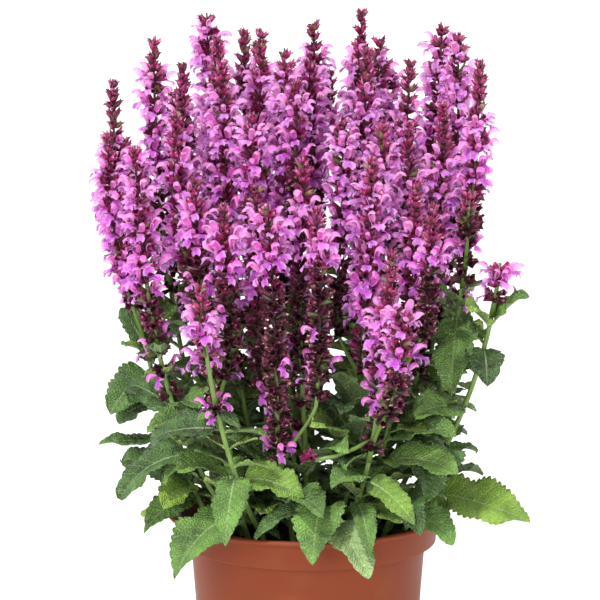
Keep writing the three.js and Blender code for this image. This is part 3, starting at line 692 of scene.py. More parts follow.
def sage_leaf(name, dark, lights, vein, vein_strength, bloom, hair):
    """Sage leaf: matt green, wrinkled by a net of sunken veins with soft puffed cells between
    them, a paler midrib and side veins, and a thin sheen of short hairs. Patches of light and
    shade, shade in the grooves and pale glints on the crests are painted on."""
    material, tree, shader, place, pitch, tone = new_finish(name, "vein_pitch", "tone")
    flat = add(tree, "UVMap", uv_map="along_the_leaf")
    aside = add(tree, "SeparateXYZ", {"Vector": flat})
    forward = aside.node.outputs["Y"]
    patch = add(tree, "TexNoise", {"Vector": place, "Scale": 1 / (15 * MM), "Detail": 3.0})
    grit = add(tree, "TexNoise", {"Vector": place, "Scale": 1 / (1.1 * MM), "Detail": 3.0})

    # Midrib, side veins and the net between them, which is drawn at 1.6 mm, a little coarser
    # than the real one, so that it shows.
    off_middle = add(tree, "Math", [aside], operation="ABSOLUTE")
    midrib = add(tree, "MapRange", {
        "Value": off_middle, "From Min": 0.2 * MM, "From Max": 0.65 * MM, "To Min": 1.0, "To Max": 0.0,
    })
    slant = add(tree, "Math", [off_middle, -VEIN_SLANT, forward], operation="MULTIPLY_ADD")
    turns = add(tree, "Math", [slant, pitch], operation="DIVIDE")
    folded = add(tree, "Math", [turns, 0.5], operation="PINGPONG")
    side_vein = add(tree, "MapRange", {"Value": folded, "From Max": 0.09, "To Min": 1.0, "To Max": 0.0})
    net = add(tree, "TexVoronoi", {"Vector": flat, "Scale": 1 / (1.6 * MM)},
              voronoi_dimensions="2D", feature="DISTANCE_TO_EDGE")
    groove = add(tree, "MapRange", {"Value": net, "From Max": 0.14, "To Min": 1.0, "To Max": 0.0})

    # Colour: patches and grit between dark and light, each leaf in its own tone. The patches are
    # painted light and shade, the net's grooves are darkened as painted shade and pale specks on
    # the crests of the grit are painted glints.
    kind = add(tree, "ValToRGB", {"Fac": tone}, list(zip((0.0, 0.4, 0.75, 1.0), lights)))
    own = add(tree, "MapRange", {"Value": tone, "To Min": -0.5, "To Max": 0.35})
    # Painted light and shade: lighter and darker patches, with the grit and each leaf's own tone.
    painted_light_and_tone = add(tree, "Math", [patch, 1.7, -0.35], operation="MULTIPLY_ADD")
    painted_light_and_tone = add(tree, "Math", [grit, 0.5, painted_light_and_tone], operation="MULTIPLY_ADD")
    painted_light_and_tone = add(tree, "Math", [painted_light_and_tone, own], operation="ADD")
    # Painted glints: pale specks where the grit is highest, as strong as bloom.
    painted_glints = add(tree, "MapRange", {"Value": grit, "From Min": 0.52, "From Max": 0.78, "To Max": bloom})
    # Painted shade: the grooves of the net are darkened towards the dark green.
    painted_groove_shade = add(tree, "Math", [groove, 0.2], operation="MULTIPLY")
    middle = add(tree, "Math", [side_vein, 0.5 * vein_strength], operation="MULTIPLY")
    fade = add(tree, "Math", [turns, -0.12, 1.3], operation="MULTIPLY_ADD")
    large = add(tree, "Math", [midrib, fade], operation="MULTIPLY")
    large = add(tree, "Math", [large, 0.9 * vein_strength], operation="MULTIPLY")
    green = add(tree, "Mix", {"Factor": painted_light_and_tone, 6: dark, 7: kind})
    for share, colour in ((painted_glints, vein), (painted_groove_shade, dark), (middle, vein), (large, vein)):
        green = add(tree, "Mix", {"Factor": share, 6: green, 7: colour})

    puff = add(tree, "MapRange", {"Value": net, "From Max": 0.42}, interpolation_type="SMOOTHSTEP")
    deep = add(tree, "Math", [side_vein, -1.2, puff], operation="MULTIPLY_ADD")
    deep = add(tree, "Math", [grit, 0.55, deep], operation="MULTIPLY_ADD")
    relief = add(tree, "Bump", {"Height": deep, "Strength": 1.0, "Distance": 0.55 * MM})
    feed(shader, {
        "Base Color": green, "Normal": relief, "Roughness": 0.4, "Specular IOR Level": 0.5,
        "Sheen Weight": hair, "Sheen Roughness": 0.5,
    })
    return material


# The upper face is a fresh mid-green; the underside is paler and more downy. On both, bloom
# is the strength of the pale specks that are painted on as glints.
leaf_upper = sage_leaf(
    "sage_leaf_upper_face", dark="#1C360C", lights=("#5C8C3E", "#74A242", "#92B63A", "#94AC7C"),
    vein="#C6DAA2", vein_strength=0.66, bloom=0.24, hair=0.05,
)
leaf_under = sage_leaf(
    "sage_leaf_underside", dark="#3A5624", lights=("#76965E", "#82A256", "#9ABA4C", "#98AA82"),
    vein="#C6D6A0", vein_strength=0.8, bloom=0.25, hair=0.12,
)

# Sage stem: juicy green in darker and paler patches, finely downy.
stem_skin, tree, shader, place = new_finish("square_sage_stem")
patch = add(tree, "TexNoise", {"Vector": place, "Scale": 1 / (9 * MM), "Detail": 4.0})
green = add(tree, "Mix", {"Factor": patch, 6: "#4E6B2C", 7: "#8EAD58"})
down = add(tree, "TexNoise", {"Vector": place, "Scale": 1 / (0.9 * MM), "Detail": 2.0})
relief = add(tree, "Bump", {"Height": down, "Strength": 0.25, "Distance": 0.2 * MM})
feed(shader, {"Base Color": green, "Normal": relief, "Roughness": 0.5, "Sheen Weight": 0.15})


def rule_leaves(index, x, y, top, centre):
    """The smaller leaves that a stem or shoot could carry, in opposite pairs."""
    draw = sequence(500 + index)
    is_shoot = centre is shoot_centre
    outward = math.atan2(y, x)
    is_outer = is_shoot or math.hypot(x, y) > OUTER_RADIUS
    highest = top - BARE_TOP if is_outer else SOIL_LEVEL + INNER_PAIRS * PAIR_SPACING
    quarter = index % 2
    height = SOIL_LEVEL + LOWEST_PAIR
    while height < highest:
        longest = LOW_LEAF - SHORTER_WITH_HEIGHT * (height - SOIL_LEVEL)
        for half in (0, 1):
            aside, size, rise = next(draw), next(draw), next(draw)
            degrees = PAIR_TURN + 90 * quarter + 180 * half + LOOSE_TURN * (aside - 0.5)
            angle = outward + math.radians(degrees)
            length = longest * (SMALLEST_LEAF + LEAF_SIZES * size)
            climb = length * (LEAF_CLIMB + LOOSE_CLIMB * rise - (OUTER_FALL if is_outer else 0))
            foot = centre(x, y, height + LOOSE_FOOT * size)
            room = LEAF_LIMIT - math.hypot(foot[0], foot[1]) * math.cos(angle - outward)
            level = min(math.sqrt(length * length - climb * climb), max(room, SHORTEST_LEAF))
            tip = foot + [level * math.cos(angle), level * math.sin(angle), climb]
            half_width = math.hypot(level, climb) * LEAF_WIDTH
            roll = math.radians(LEAF_ROLL * math.sin(angle - outward))
            yield Leaf(foot, tip, length * LEAF_ARCH, half_width, roll, RULE_BLADE)
        quarter = 1 - quarter
        height += SHOOT_PAIR_SPACING if is_shoot else PAIR_SPACING


def settled(leaf, corners):
    """The leaf as it stands in the solids, with the turn, rise and size that it gave way by,
    or None where the solids have no such leaf."""
    for turn, lifted, share in GIVE_WAY:
        reach = (leaf.tip - leaf.foot) * share
        reach = turned_about(reach, np.array([0.0, 0.0, 1.0]), math.radians(turn))
        tip = leaf.foot + reach + [0, 0, lifted]
        if np.min(np.linalg.norm(corners - tip, axis=1)) < SAME_TIP:
            return leaf._replace(tip=tip, lift=leaf.lift * share, half_width=leaf.half_width * share)
    return None


def axil_leaves(x, y, top, draw):
    """The little leaves in the axils of one stem, each with its tone."""
    start = AXIL_FOOT + AXIL_SPACING * next(draw)
    for height in np.arange(start, min(top - BARE_TOP, AXIL_TOP), AXIL_SPACING):
        foot = stem_centre(x, y, height)
        limit = AXIL_LIMIT + AXIL_FLARE * max(height - AXIL_FLARE_FROM, 0)
        turn = next(draw) * math.pi
        for half in (0, 1):
            angle = turn + math.pi * half + strewn(draw, AXIL_TURN)
            length = SHORTEST_AXIL + AXIL_LENGTHS * next(draw)
            climb = length * (AXIL_CLIMB * next(draw) - AXIL_DIP)
            level = math.sqrt(length * length - climb * climb)
            tip = foot + [level * math.cos(angle), level * math.sin(angle), climb]
            tone = next(draw)
            if math.hypot(tip[0], tip[1]) > limit:
                continue
            roll = strewn(draw, AXIL_ROLL)
            yield Leaf(foot, tip, AXIL_ARCH * length, AXIL_WIDTH * length, roll, AXIL_BLADE), tone


# An outline of eight corners, of which every second lies a little inwards.
square = np.array([[-1, -1], [0, -0.78], [1, -1], [0.78, 0], [1, 1], [0, 0.78], [-1, 1], [-0.78, 0]])
growths = [(f"stem_{number:02d}", *stem[0][:2], fork_height(stem) - STEM_JOINT, stem_centre)
           for number, stem in enumerate(STEMS, start=1)]
growths += [(f"shoot_{number}", *shoot, shoot_centre) for number, shoot in enumerate(SHOOTS, start=1)]
for index, (name, x, y, top, centre) in enumerate(growths):
    heap = Heap()
    heights = np.append(np.arange(HOLE_FLOOR, top - 4, STEM_STEP), top)
    taper = [1.0, TALL_TAPER if top > TALL_STEM else SHORT_TAPER]
    sizes = STEM_HALF_WIDTH * np.interp(heights, [BEND_START, top], taper)
    points, faces = sleeve(centre(x, y, heights), square, sizes)
    heap.put(points, faces, 2, tone=0.5, vein_pitch=1.0)

    corners = np.array([v.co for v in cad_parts[f"{name}_leafy"].data.vertices]) / MM
    leaves = [Leaf(centre(x, y, foot), tip, lift, half_width, math.radians(roll), LARGE_BLADE)
              for foot, *tip, lift, half_width, roll in LARGE_LEAVES.get(name, [])]
    leaves += rule_leaves(index, x, y, top, centre)
    draw = sequence(3000 + index)
    tones = [next(draw) for _ in leaves]
    # Set tones for some large leaves; those of stem_01 and stem_02 are painted shade.
    own_tones = LEAF_TONES_AND_SHADE.get(name, ())
    tones[:len(own_tones)] = own_tones
    for leaf, tone in zip(leaves, tones):
        leaf = settled(leaf, corners)
        if leaf is not None:
            leaf_blade(heap, leaf, tone)
    if centre is stem_centre:
        for leaf, tone in axil_leaves(x, y, top, draw):
            leaf_blade(heap, leaf, tone)
    for number, (foot, *tip, roll) in enumerate(SHOWN_AXILS.get(name, [])):
        foot = centre(x, y, foot)
        length = np.linalg.norm(tip - foot)
        leaf = Leaf(foot, tip, SHOWN_ARCH * length, SHOWN_WIDTH * length, roll, SHOWN_BLADE)
        leaf_blade(heap, leaf, 0.1 + 0.3 * number)
    foliage = heap.piece(f"{name}_foliage", [leaf_upper, leaf_under, stem_skin])
    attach(foliage, "root")
    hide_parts(f"{name}_leafy")


# ------------------------------------------------------------------------------------------
# Flower heads. Each stem ends in a thin stalk, mostly with one or two side stalks, that turns
# from green to maroon. It is set with rings of dark maroon calyces on small bracts: closed buds
# at the tip, open ones below and spent ones lowest.

STALK_RADIUS = 1.35
SIDE_STALK_RADIUS = 1.1
STALK_TAPER = [1.15, 1.0, 0.35]
STALK_STEP = 6.0
STALK_GREEN = 45.0
SIDE_RISE = 46.0
BUD_RING_SPACING = 6.2
TIP_RING_SPACING = 3.4
OPEN_RING_SPACING = 6.6
SPENT_RING_SPACING = 6.2
RING_SPACING_RANGE = 0.2
JUST_BELOW_OPEN = -0.02
BARE_TIP = 6.0
SHORTEST_BUD_END = 12.0
# How the parts of a ring vary: in turn and in size, with angles in radians.
RING_TURN = 0.25
SMALLEST_SHARE = 0.85
SHARE_RANGE = 0.3
CALYX_SPACING = 0.62
CALYX_ROLL = 1.8
OUTER_DIP = 0.12
BRACT_DIP = 0.25
BRACT_DROP = 0.6
BRACT_ROLL = 0.2
UNRIPE_FROM = 0.95
# The lowest open rings and the spent ones are the more withered the lower they stand.
AGE_FROM = 0.15
AGE_AT_FOOT = 0.3
AGE_WITH_DEPTH = 1.2
OLDEST = 0.85
# Loose rings below a head, by how far they stand under its lowest one, and for some stems
# the height below which the stem is bare but for those.
LOOSE_RINGS = (8, 17, 28, 41)
OWN_LOOSE_RINGS = {0: (), 13: (12,), 25: ()}
BARE_BELOW = {13: 241.0}
LOOSE_BLOOM = 0.6
# A short side shoot low on one stem, which ends in a knot of buds.
SIDE_SHOOT = np.array([(36.4, -67.8, 186.5), (27, -73, 182.5), (15, -79, 179), (4, -84, 178)])
SIDE_SHOOT_RADIUS = 1.1
SIDE_SHOOT_STEM = 24
KNOT = (0.5, -85.5, 179.5)
KNOT_BUDS = 16
KNOT_BUD_SIZE = 0.8
RIBS = 6

# A spike of a stem by its places and heights, its stalk's radius and its loose rings.
Spike = namedtuple("Spike", "main x y tip open_top open_foot fork low radius loose")


def smooth(share):
    """A share held between 0 and 1, with a soft start and end."""
    held = np.clip(share, 0, 1)
    return held * held * (3 - 2 * held)


def spike_centre(spike, height):
    """The middle of a spike at one height or several. A side spike leaves the main one."""
    height = np.asarray(height, dtype=float)
    main_x, main_y = spike.main
    centre = stem_centre(main_x, main_y, height)
    away = smooth((height - spike.fork) / SIDE_RISE) * spread_at(height)
    centre[..., 0] += (spike.x - main_x) * away
    centre[..., 1] += (spike.y - main_y) * away
    return centre


def facing(angle, rise, roll):
    """Rows that turn a small part's own X, Y and Z outwards at an angle, raised and rolled."""
    ca, sa, cr, sr = math.cos(angle), math.sin(angle), math.cos(rise), math.sin(rise)
    out = np.array([ca * cr, sa * cr, sr])
    across = np.array([-sa, ca, 0.0])
    up = np.array([-ca * sr, -sa * sr, cr])
    c, s = math.cos(roll), math.sin(roll)
    return np.array([out, across * c + up * s, up * c - across * s])


def tube(stations):
    """Corners and faces of a tube along X: each station is x, z and radius. Open at its ends."""
    turns = np.arange(RIBS) * (2 * math.pi / RIBS)
    points = [(x, r * math.cos(a), z + r * math.sin(a)) for x, z, r in stations for a in turns]
    return np.array(points), round_faces(len(stations), RIBS)


# A calyx in flower: a ribbed bell 7 mm long with a broad upper lip and two lower teeth. Each
# shape comes with the share of the way from its foot to its lips at every corner.
bell, bell_faces = tube([(0, 0, 0.7), (1.4, 0, 1.35), (3.8, 0.1, 1.75), (5.4, 0.2, 2.05)])
bell = np.concatenate([bell, [(6.8, 1.1, 2.6), (6.8, -1.1, 2.6), (7.0, -1.4, -1.5), (7.0, 1.4, -1.5)]])
bell_faces += [(18, 19, 24), (19, 20, 25), (24, 19, 25), (21, 22, 26), (22, 23, 27), (23, 18, 27)]
bell_along = np.append(np.repeat([0.0, 0.25, 0.7, 0.85], RIBS), [1.0] * 4)

# A closed bud: a plump ribbed egg whose three teeth stand a little apart at the point.
bud, bud_faces = tube([(0, 0, 0.6), (1.4, 0, 1.55), (3.2, 0.15, 1.6), (4.7, 0.3, 1.15)])
bud = np.concatenate([bud, [(7.2, 0.0, 2.1), (6.9, -1.5, -0.7), (6.9, 1.5, -0.7)]])
bud_faces += [(18, 19, 24), (19, 20, 24), (20, 21, 25), (21, 22, 25), (22, 23, 26), (23, 18, 26)]
bud_along = np.append(np.repeat([0.0, 0.3, 0.65, 0.85], RIBS), [1.0] * 3)

# A bract under each ring: a small pointed boat-shaped leaf.
bract = np.array([
    (0, 0, 0), (1.6, -1.5, 0.5), (1.6, 0, -0.3), (1.6, 1.5, 0.5),
    (3.6, -1.2, 1.4), (3.6, 0, 0.7), (3.6, 1.2, 1.4), (6.2, 0, 3.4),
])
bract_faces = [(0, 1, 2), (0, 2, 3), (1, 4, 5, 2), (2, 5, 6, 3), (4, 7, 5), (5, 7, 6)]
bract_along = np.array([0, 0.3, 0.3, 0.3, 0.7, 0.7, 0.7, 1.0])

# The three kinds of ring: the places of its calyces side by side, how far chance turns, raises
# and shifts them, their rise in degrees and their size from the tip downwards, the size and
# green of the bracts, the shape and tone of the calyces, and the share with an open floret.
SPENT = {
    "places": (-1.5, -0.5, 0.5, 1.5), "turned": 1.0, "raised": 1.2, "shifted": 5.6,
    "rise": [22, 22], "sizes": [1, 1, 1], "bract_size": 0.95, "bract_green": 0.4,
    "shape": bell, "faces": bell_faces, "along": bell_along, "tone": 0.8, "bloom": 0.05,
}
OPEN = {
    **SPENT, "places": (-1, 0, 1), "turned": 0.5, "raised": 0.6, "shifted": 2.6, "rise": [34, 34],
    "bloom": 0.8,
}
IN_BUD = {
    **OPEN, "rise": [64, 42], "sizes": [0.62, 0.95, 1.05], "bract_size": 0.75, "bract_green": 0.2,
    "shape": bud, "faces": bud_faces, "along": bud_along + 0.06, "tone": 0.7, "bloom": 0.0,
}

# Salvia calyx and bud: dark maroon, crimson towards the lips, here and there still green.
# Towards its foot each calyx darkens nearly to black, partly its own colour and partly painted
# shade, and pale pink flecks on the lips are painted highlights. Spent ones are brown-black with
# dry pale lips, darkened and flecked the same way. A low gloss is broken up by short hairs.
numbers = ["along", "tone", "green", "age"]
calyx_skin, tree, shader, place, along, tone, unripe, age = new_finish("salvia_calyx", *numbers)
painted_light_fleck = add(tree, "TexNoise", {"Vector": place, "Scale": 1 / (2.2 * MM), "Detail": 3.0})
# Painted shade and highlights: darkest at the foot of each calyx, pale pink where the flecks reach the lips.
reach = add(tree, "Math", [painted_light_fleck, 2.2, along], operation="MULTIPLY_ADD")
reach = add(tree, "Math", [reach, 0.75, -0.78], operation="MULTIPLY_ADD")
ripe = add(tree, "ValToRGB", {"Fac": reach}, [
    (0.1, "#1E0614"), (0.42, "#860A48"), (0.8, "#BA347C"), (1.0, "#F0ACD2"),
])
withered = add(tree, "ValToRGB", {"Fac": reach}, [
    (0.3, "#14060E"), (0.66, "#3A0E24"), (0.87, "#7E3450"), (1.0, "#E6C0AC"),
])
skin = add(tree, "Mix", {"Factor": tone, 6: ripe, 7: "#380422"})
skin = add(tree, "Mix", {"Factor": age, 6: skin, 7: withered})
skin = add(tree, "Mix", {"Factor": unripe, 6: skin, 7: "#6A8440"})
hairs = add(tree, "TexNoise", {"Vector": place, "Scale": 1 / (0.5 * MM), "Detail": 2.0})
relief = add(tree, "Bump", {"Height": hairs, "Strength": 0.4, "Distance": 0.2 * MM})
feed(shader, {
    "Base Color": skin, "Normal": relief, "Roughness": 0.32, "Specular IOR Level": 0.42,
    "Sheen Weight": 0.06, "Sheen Roughness": 0.35, "Sheen Tint": "#FFC4DE",
})


def rings_of(spike, draw):
    """The heights of a spike's rings from its foot to its tip, each with its stage: the share
    of the way from the lowest open floret to the highest, below 0 spent and above 1 in bud."""
    rings = [(height, -1.0) for height in spike.loose]
    height = spike.low
    while height < spike.tip - BARE_TIP:
        stage = (height - spike.open_foot) / (spike.open_top - spike.open_foot)
        rings.append((height, stage))
        step = OPEN_RING_SPACING if stage > JUST_BELOW_OPEN else SPENT_RING_SPACING
        if height > spike.open_top:
            share = (spike.tip - height) / (spike.tip - spike.open_top)
            step = TIP_RING_SPACING + (BUD_RING_SPACING - TIP_RING_SPACING) * share
        height += step * (1 + strewn(draw, RING_SPACING_RANGE))
    return rings


def put_ring(heap, spike, height, stage, turn, draw):
    """Puts one ring of bracts and calyces round a spike, and gives back its open florets."""
    kind = SPENT if stage < 0 else OPEN if stage <= 1 else IN_BUD
    centre = spike_centre(spike, height)
    to_tip = (spike.tip - height) / max(spike.tip - spike.open_top, SHORTEST_BUD_END)
    age = 0.0 if stage > AGE_FROM else min(OLDEST, AGE_AT_FOOT - AGE_WITH_DEPTH * stage)
    size = np.interp(to_tip, [0, 0.6, 1], kind["sizes"])
    rise = math.radians(np.interp(to_tip, [0, 1], kind["rise"]))
    wanted = LOOSE_BLOOM if height in spike.loose[:1] else kind["bloom"]
    blooms = []
    for heading in (turn, turn + math.pi):
        scale = kind["bract_size"] * size * (SMALLEST_SHARE + SHARE_RANGE * next(draw))
        corners = bract * scale @ facing(heading, rise - BRACT_DIP, BRACT_ROLL * next(draw))
        heap.put(centre + corners - [0, 0, BRACT_DROP], bract_faces, along=bract_along, tone=0.3,
                 green=kind["bract_green"] * next(draw), age=age)
        for beside in kind["places"]:
            angle = heading + beside * CALYX_SPACING + strewn(draw, kind["turned"])
            lift = rise + strewn(draw, kind["raised"]) - OUTER_DIP * abs(beside)
            scale = size * (SMALLEST_SHARE + SHARE_RANGE * next(draw))
            rows = facing(angle, lift, strewn(draw, CALYX_ROLL))
            root = centre + [0, 0, strewn(draw, kind["shifted"])] + rows[0] * (0.5 * spike.radius)
            tone, green, chance = next(draw), next(draw), next(draw)
            heap.put(root + kind["shape"] * scale @ rows, kind["faces"], along=kind["along"],
                     tone=kind["tone"] * tone, green=0.5 if green > UNRIPE_FROM else 0.1 * green, age=age)
            if chance < wanted:
                blooms.append((root, angle, lift, scale, tone, stage))
    return blooms


florets = []
for index, stem in enumerate(STEMS):
    heap = Heap()
    blooms = []
    fork = fork_height(stem)
    for place_in_stem, (x, y, tip, open_top, open_foot, foot) in enumerate(stem):
        is_main = place_in_stem == 0
        low = max(foot, BARE_BELOW.get(index, 0))
        radius = STALK_RADIUS if is_main else SIDE_STALK_RADIUS
        loose = [foot - drop for drop in OWN_LOOSE_RINGS.get(index, LOOSE_RINGS)] if is_main else []
        spike = Spike(stem[0][:2], x, y, tip, open_top, open_foot, fork, low, radius, loose)
        draw = sequence(7000 + 40 * index + place_in_stem)
        start = fork - 6 if is_main else fork + 1
        heights = np.append(np.arange(start, tip - 8, STALK_STEP), tip - 4)
        sizes = radius * np.interp(heights, [start, foot, tip], STALK_TAPER)
        points, faces = sleeve(spike_centre(spike, heights), square, sizes)
        greener = np.interp(np.repeat(heights, len(square)), [low, low + STALK_GREEN], [1.0, 0.0])
        heap.put(points, faces, along=0.25, tone=0.1, green=greener, age=0.3)
        turn = next(draw) * math.pi
        for height, stage in rings_of(spike, draw):
            turn += math.pi / 2 + strewn(draw, RING_TURN)
            blooms += put_ring(heap, spike, height, stage, turn, draw)
    if index == SIDE_SHOOT_STEM:
        faces = sleeve(SIDE_SHOOT, square, [SIDE_SHOOT_RADIUS] * len(SIDE_SHOOT))[1]
        upright = np.insert(square * SIDE_SHOOT_RADIUS, 0, 0, axis=1)
        points = (SIDE_SHOOT[:, None] + upright).reshape(-1, 3)
        heap.put(points, faces, along=0.4, tone=0.0, green=1.0, age=0.0)
        draw = sequence(6000)
        for _ in range(KNOT_BUDS):
            rows = facing(next(draw) * FULL_TURN, math.radians(100 * next(draw) - 20), 3 * next(draw))
            heap.put(KNOT + bud * KNOT_BUD_SIZE @ rows, bud_faces, along=0.85 * bud_along,
                     tone=0.3 + 0.4 * next(draw), green=0.0, age=0.0)
    florets.append(blooms)
    calyces = heap.piece(f"stem_{index + 1:02d}_calyces", [calyx_skin])
    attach(calyces, "root")
    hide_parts(f"stem_{index + 1:02d}_flowers")


# ------------------------------------------------------------------------------------------
# Corollas. Thin pink-violet petals, each a tube out of its calyx with two lips: the upper one
# arches forward like a sickle-shaped hood, the lower one hangs with two side lobes.

# How high a floret's hood arches, how far its lower lip hangs and how wide it spreads. The
# last shape is a floret that is just opening, for the top of a head.
COROLLA_SHAPES = [
    (1.0, 1.0, 1.0), (0.86, 1.15, 0.9), (1.1, 0.8, 1.1), (0.92, 0.95, 1.2), (1.05, 1.1, 0.85),
    (0.8, 0.85, 1.0), (0.7, 0.6, 0.7),
]
OPENING = len(COROLLA_SHAPES) - 1
OPENING_FROM = 0.93
PETAL_STEPS = 6
PETAL_UNEVEN = 0.25
HOOD_FRILL = 0.8
LOWER_FRILL = 1.5
LOWER_NOTCH = 1.5
COROLLA_TURN = 0.7
COROLLA_LIFT = 0.8
COROLLA_DIP = 0.2
COROLLA_ROLL = 1.3
SMALLEST_COROLLA = 0.78
COROLLA_SIZES = 0.26
# Florets are the paler the higher they stand on a head.
PALER_FROM = 0.3
PALER = 0.34

petal_places = np.linspace(-1, 1, PETAL_STEPS + 1)


def petal_strip(rows, notch, frill, draw):
    """Corners of one lip along a line of x, z, half its width, and how far its edges turn in.
    notch cuts its end back in the middle, and frill waves its edges."""
    line = np.array([row[:2] for row in rows])
    along = np.gradient(line, axis=0)
    along /= np.linalg.norm(along, axis=1)[:, None]
    inward = np.stack([along[:, 1], -along[:, 0]], axis=1)
    s = petal_places
    points = []
    for row, (x, z, half, turn_in) in enumerate(rows):
        back = notch * (1 - np.abs(s)) if row == len(rows) - 1 else 0 * s
        wave = np.array([strewn(draw, frill) for _ in s]) * s ** 2
        wide = half * (1 + np.array([strewn(draw, PETAL_UNEVEN) for _ in s]) * s ** 2)
        middle = np.array([x, z]) - back[:, None] * along[row]
        middle = middle + (turn_in * (1 - np.cos(s * math.pi / 2)) + wave)[:, None] * inward[row]
        points.append(np.stack([middle[:, 0], wide * np.sin(s * math.pi / 2), middle[:, 1]], axis=-1))
    return np.concatenate(points)


def corolla(number, arch, drop, spread):
    """Corners, faces, paleness and lip share of one floret."""
    draw = sequence(60 + number)
    throat, faces = tube([(3.8, 0.1, 0.9), (7.2, 0.8, 1.35)])
    points, pale, lip_share = [throat], [np.full(len(throat), 0.2)], [np.full(len(throat), 0.6)]
    hood = [
        (6.3, 1.0, 1.3, 0.8), (6.6, 3.2 * arch, 1.9, 1.9), (7.8, 5.6 * arch, 2.1, 2.5),
        (9.7, 7.1 * arch, 2.2, 2.6), (11.9, 7.0 * arch, 2.0, 2.1), (13.6, 5.5 * arch, 1.5, 1.1),
        (14.2, 3.6 * arch, 0.5, 0.2),
    ]
    lower = [
        (6.4, -0.2, 1.3, 0.2), (8.0, -0.7, 3.6 * spread, 1.3), (9.3, -1.8 * drop, 1.7 * spread, 0.2),
        (10.1, -3.4 * drop, 2.8 * spread, -1.0), (10.2, -5.1 * drop, 3.1 * spread, -1.2),
        (9.7, -6.6 * drop, 1.9, -0.4),
    ]
    lips = [(hood, 0.0, HOOD_FRILL, 0.0), (lower, LOWER_NOTCH, LOWER_FRILL, 1.0)]
    for rows, notch, frill, share in lips:
        faces += sheet_faces(len(rows), PETAL_STEPS + 1, sum(len(part) for part in points))
        corners = petal_strip(rows, notch, frill, draw)
        length = np.repeat(np.linspace(0, 1, len(rows)), PETAL_STEPS + 1)
        edge = np.tile(np.abs(petal_places), len(rows))
        points.append(corners)
        pale.append(np.clip(0.28 * length + 0.7 * edge ** 2, 0, 1))
        lip_share.append(np.full(len(corners), share))
    return np.concatenate(points), faces, np.concatenate(pale), np.concatenate(lip_share)


corollas = [corolla(number, *shape) for number, shape in enumerate(COROLLA_SHAPES)]

# Salvia petal: thin and softly satiny, violet in the throat and on the lower lip, pink on the
# hood and nearly white-pink at the edges, with light that comes through it from behind.
petal, tree, shader, place, pale, tone, lip_share = new_finish("salvia_petal", "pale", "tone", "lip")
streak = add(tree, "TexNoise", {"Vector": place, "Scale": 1 / (1.3 * MM), "Detail": 3.0})
depth = add(tree, "Math", [streak, 0.75, pale], operation="MULTIPLY_ADD")
hood = add(tree, "ValToRGB", {"Fac": depth}, [(0.3, "#B838B2"), (0.58, "#EE72D0"), (1.0, "#FABEEA")])
lip = add(tree, "ValToRGB", {"Fac": depth}, [(0.3, "#9634BE"), (0.58, "#CC5AD8"), (1.0, "#ECB8F0")])
both = add(tree, "Mix", {"Factor": lip_share, 6: hood, 7: lip})
own = add(tree, "Mix", {"Factor": tone, 6: "#CC52D2", 7: "#FC9ADE"})
blend = add(tree, "Mix", {"Factor": 0.25, 6: both, 7: own})
creases = add(tree, "TexNoise", {"Vector": place, "Scale": 1 / (0.9 * MM), "Detail": 2.0})
relief = add(tree, "Bump", {"Height": creases, "Strength": 0.5, "Distance": 0.5 * MM})
feed(shader, {
    "Base Color": blend, "Normal": relief, "Roughness": 0.6, "Specular IOR Level": 0.2, "IOR": 1.2,
    "Transmission Weight": 0.42, "Sheen Weight": 0.06, "Sheen Roughness": 0.5,
})

for index, blooms in enumerate(florets):
    heap = Heap()
    draw = sequence(9000 + index)
    for root, angle, lift, scale, tone, stage in blooms:
        kind = int(next(draw) * OPENING) if stage < OPENING_FROM else OPENING
        shape, faces, pale, lip_share = corollas[kind]
        turned = angle + strewn(draw, COROLLA_TURN)
        raised = lift - COROLLA_DIP + strewn(draw, COROLLA_LIFT)
        rows = facing(turned, raised, strewn(draw, COROLLA_ROLL))
        size = scale * (SMALLEST_COROLLA + COROLLA_SIZES * next(draw))
        paler = PALER * min(max(stage - PALER_FROM, 0), 1 - PALER_FROM)
        heap.put(root + shape * size @ rows, faces, pale=pale + paler, tone=tone, lip=lip_share)
    petals = heap.piece(f"stem_{index + 1:02d}_corollas", [petal])
    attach(petals, "root")
    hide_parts(f"stem_{index + 1:02d}_flowers")


# ------------------------------------------------------------------------------------------
# Studio. A wide matt pale floor, a soft sun, two large soft lamps and an even white sky. Its
# lengths are in metres and its angles in degrees.

FLOOR_SIZE = 60.0
CAMERA_PLACE = (-0.00475, -1.600, 0.523)
CAMERA_TILT = 9.47
FOCAL_LENGTH = 164.0
SENSOR_WIDTH = 36.0
CLIP_END = 100.0
SUN_POWER = 2.8
SUN_SIZE = 5.0
SUN_LEAN = 26.0
SUN_TURN = -34.0
SKY_POWER = 0.64
# The name, place, size and power of each lamp. Both point at the middle of the plant.
LAMPS = [("front", (-0.9, -2.3, 1.0), 1.2, 32.0), ("fill", (1.7, -1.4, 0.9), 1.4, 7.0)]
PLANT_MIDDLE = (0, 0, 0.25)

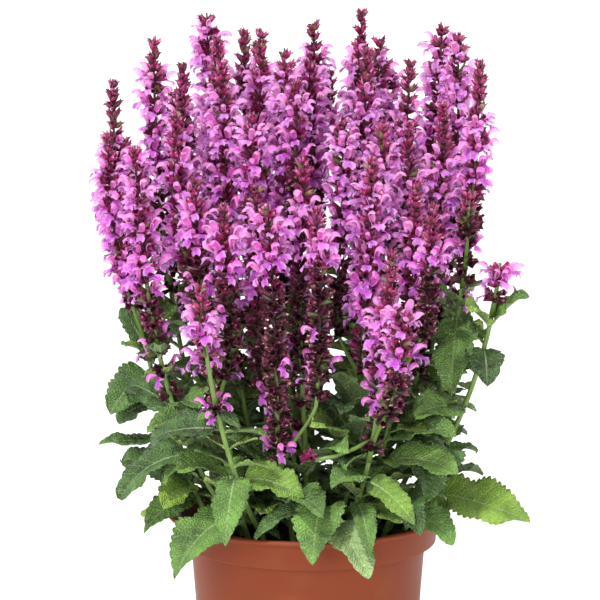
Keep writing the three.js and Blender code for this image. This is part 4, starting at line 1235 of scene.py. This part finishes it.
# Backdrop paper, coated matt white: a faint cloudiness keeps it from looking dead flat.
paper, tree, shader, place = new_finish("matt_white_backdrop")
cloud = add(tree, "TexNoise", {"Vector": place, "Scale": 1 / (333 * MM), "Detail": 2.0})
white = add(tree, "Mix", {"Factor": cloud, 6: "#F6F6F5", 7: "#FBFBFA"})
feed(shader, {"Base Color": white, "Roughness": 0.9})
half = FLOOR_SIZE / 2 / MM
floor_corners = [(-half, -half, 0), (half, -half, 0), (half, half, 0), (-half, half, 0)]
floor = new_piece("studio_floor", floor_corners, [(0, 1, 2, 3)], [paper])
floor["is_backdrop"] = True

# The key comes steeply from the upper left, in front, as from a very large softbox far away.
key_lamp = bpy.data.lights.new("key", "SUN")
key_lamp.energy = SUN_POWER
key_lamp.angle = math.radians(SUN_SIZE)
key = bpy.data.objects.new("key", key_lamp)
key.rotation_euler = (math.radians(SUN_LEAN), 0, math.radians(SUN_TURN))
bpy.context.scene.collection.objects.link(key)

for name, spot, size, power in LAMPS:
    lamp = bpy.data.lights.new(name, "AREA")
    lamp.shape = "DISK"
    lamp.size = size
    lamp.energy = power
    stand = bpy.data.objects.new(name, lamp)
    bpy.context.scene.collection.objects.link(stand)
    stand.location = spot
    x, y, z = np.array(PLANT_MIDDLE) - spot
    stand.rotation_euler = (math.atan2(math.hypot(x, y), -z), 0, math.atan2(y, x) - math.pi / 2)

world = bpy.data.worlds.new("pale_sky")
bpy.context.scene.world = world
world.use_nodes = True
feed(world.node_tree.nodes["Background"], {"Color": "#FFFFFF", "Strength": SKY_POWER})

camera = bpy.data.objects.new("camera", bpy.data.cameras.new("camera"))
bpy.context.scene.collection.objects.link(camera)
camera.location = CAMERA_PLACE
camera.rotation_euler = (math.radians(90 - CAMERA_TILT), 0, 0)
camera.data.sensor_width = SENSOR_WIDTH
camera.data.lens = FOCAL_LENGTH
camera.data.clip_end = CLIP_END
bpy.context.scene.camera = camera
bpy.context.scene.view_settings.view_transform = "Standard"

boxes = {"cad": cad_box, "visual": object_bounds()}
{name: [list(corner) for corner in box] for name, box in boxes.items()}
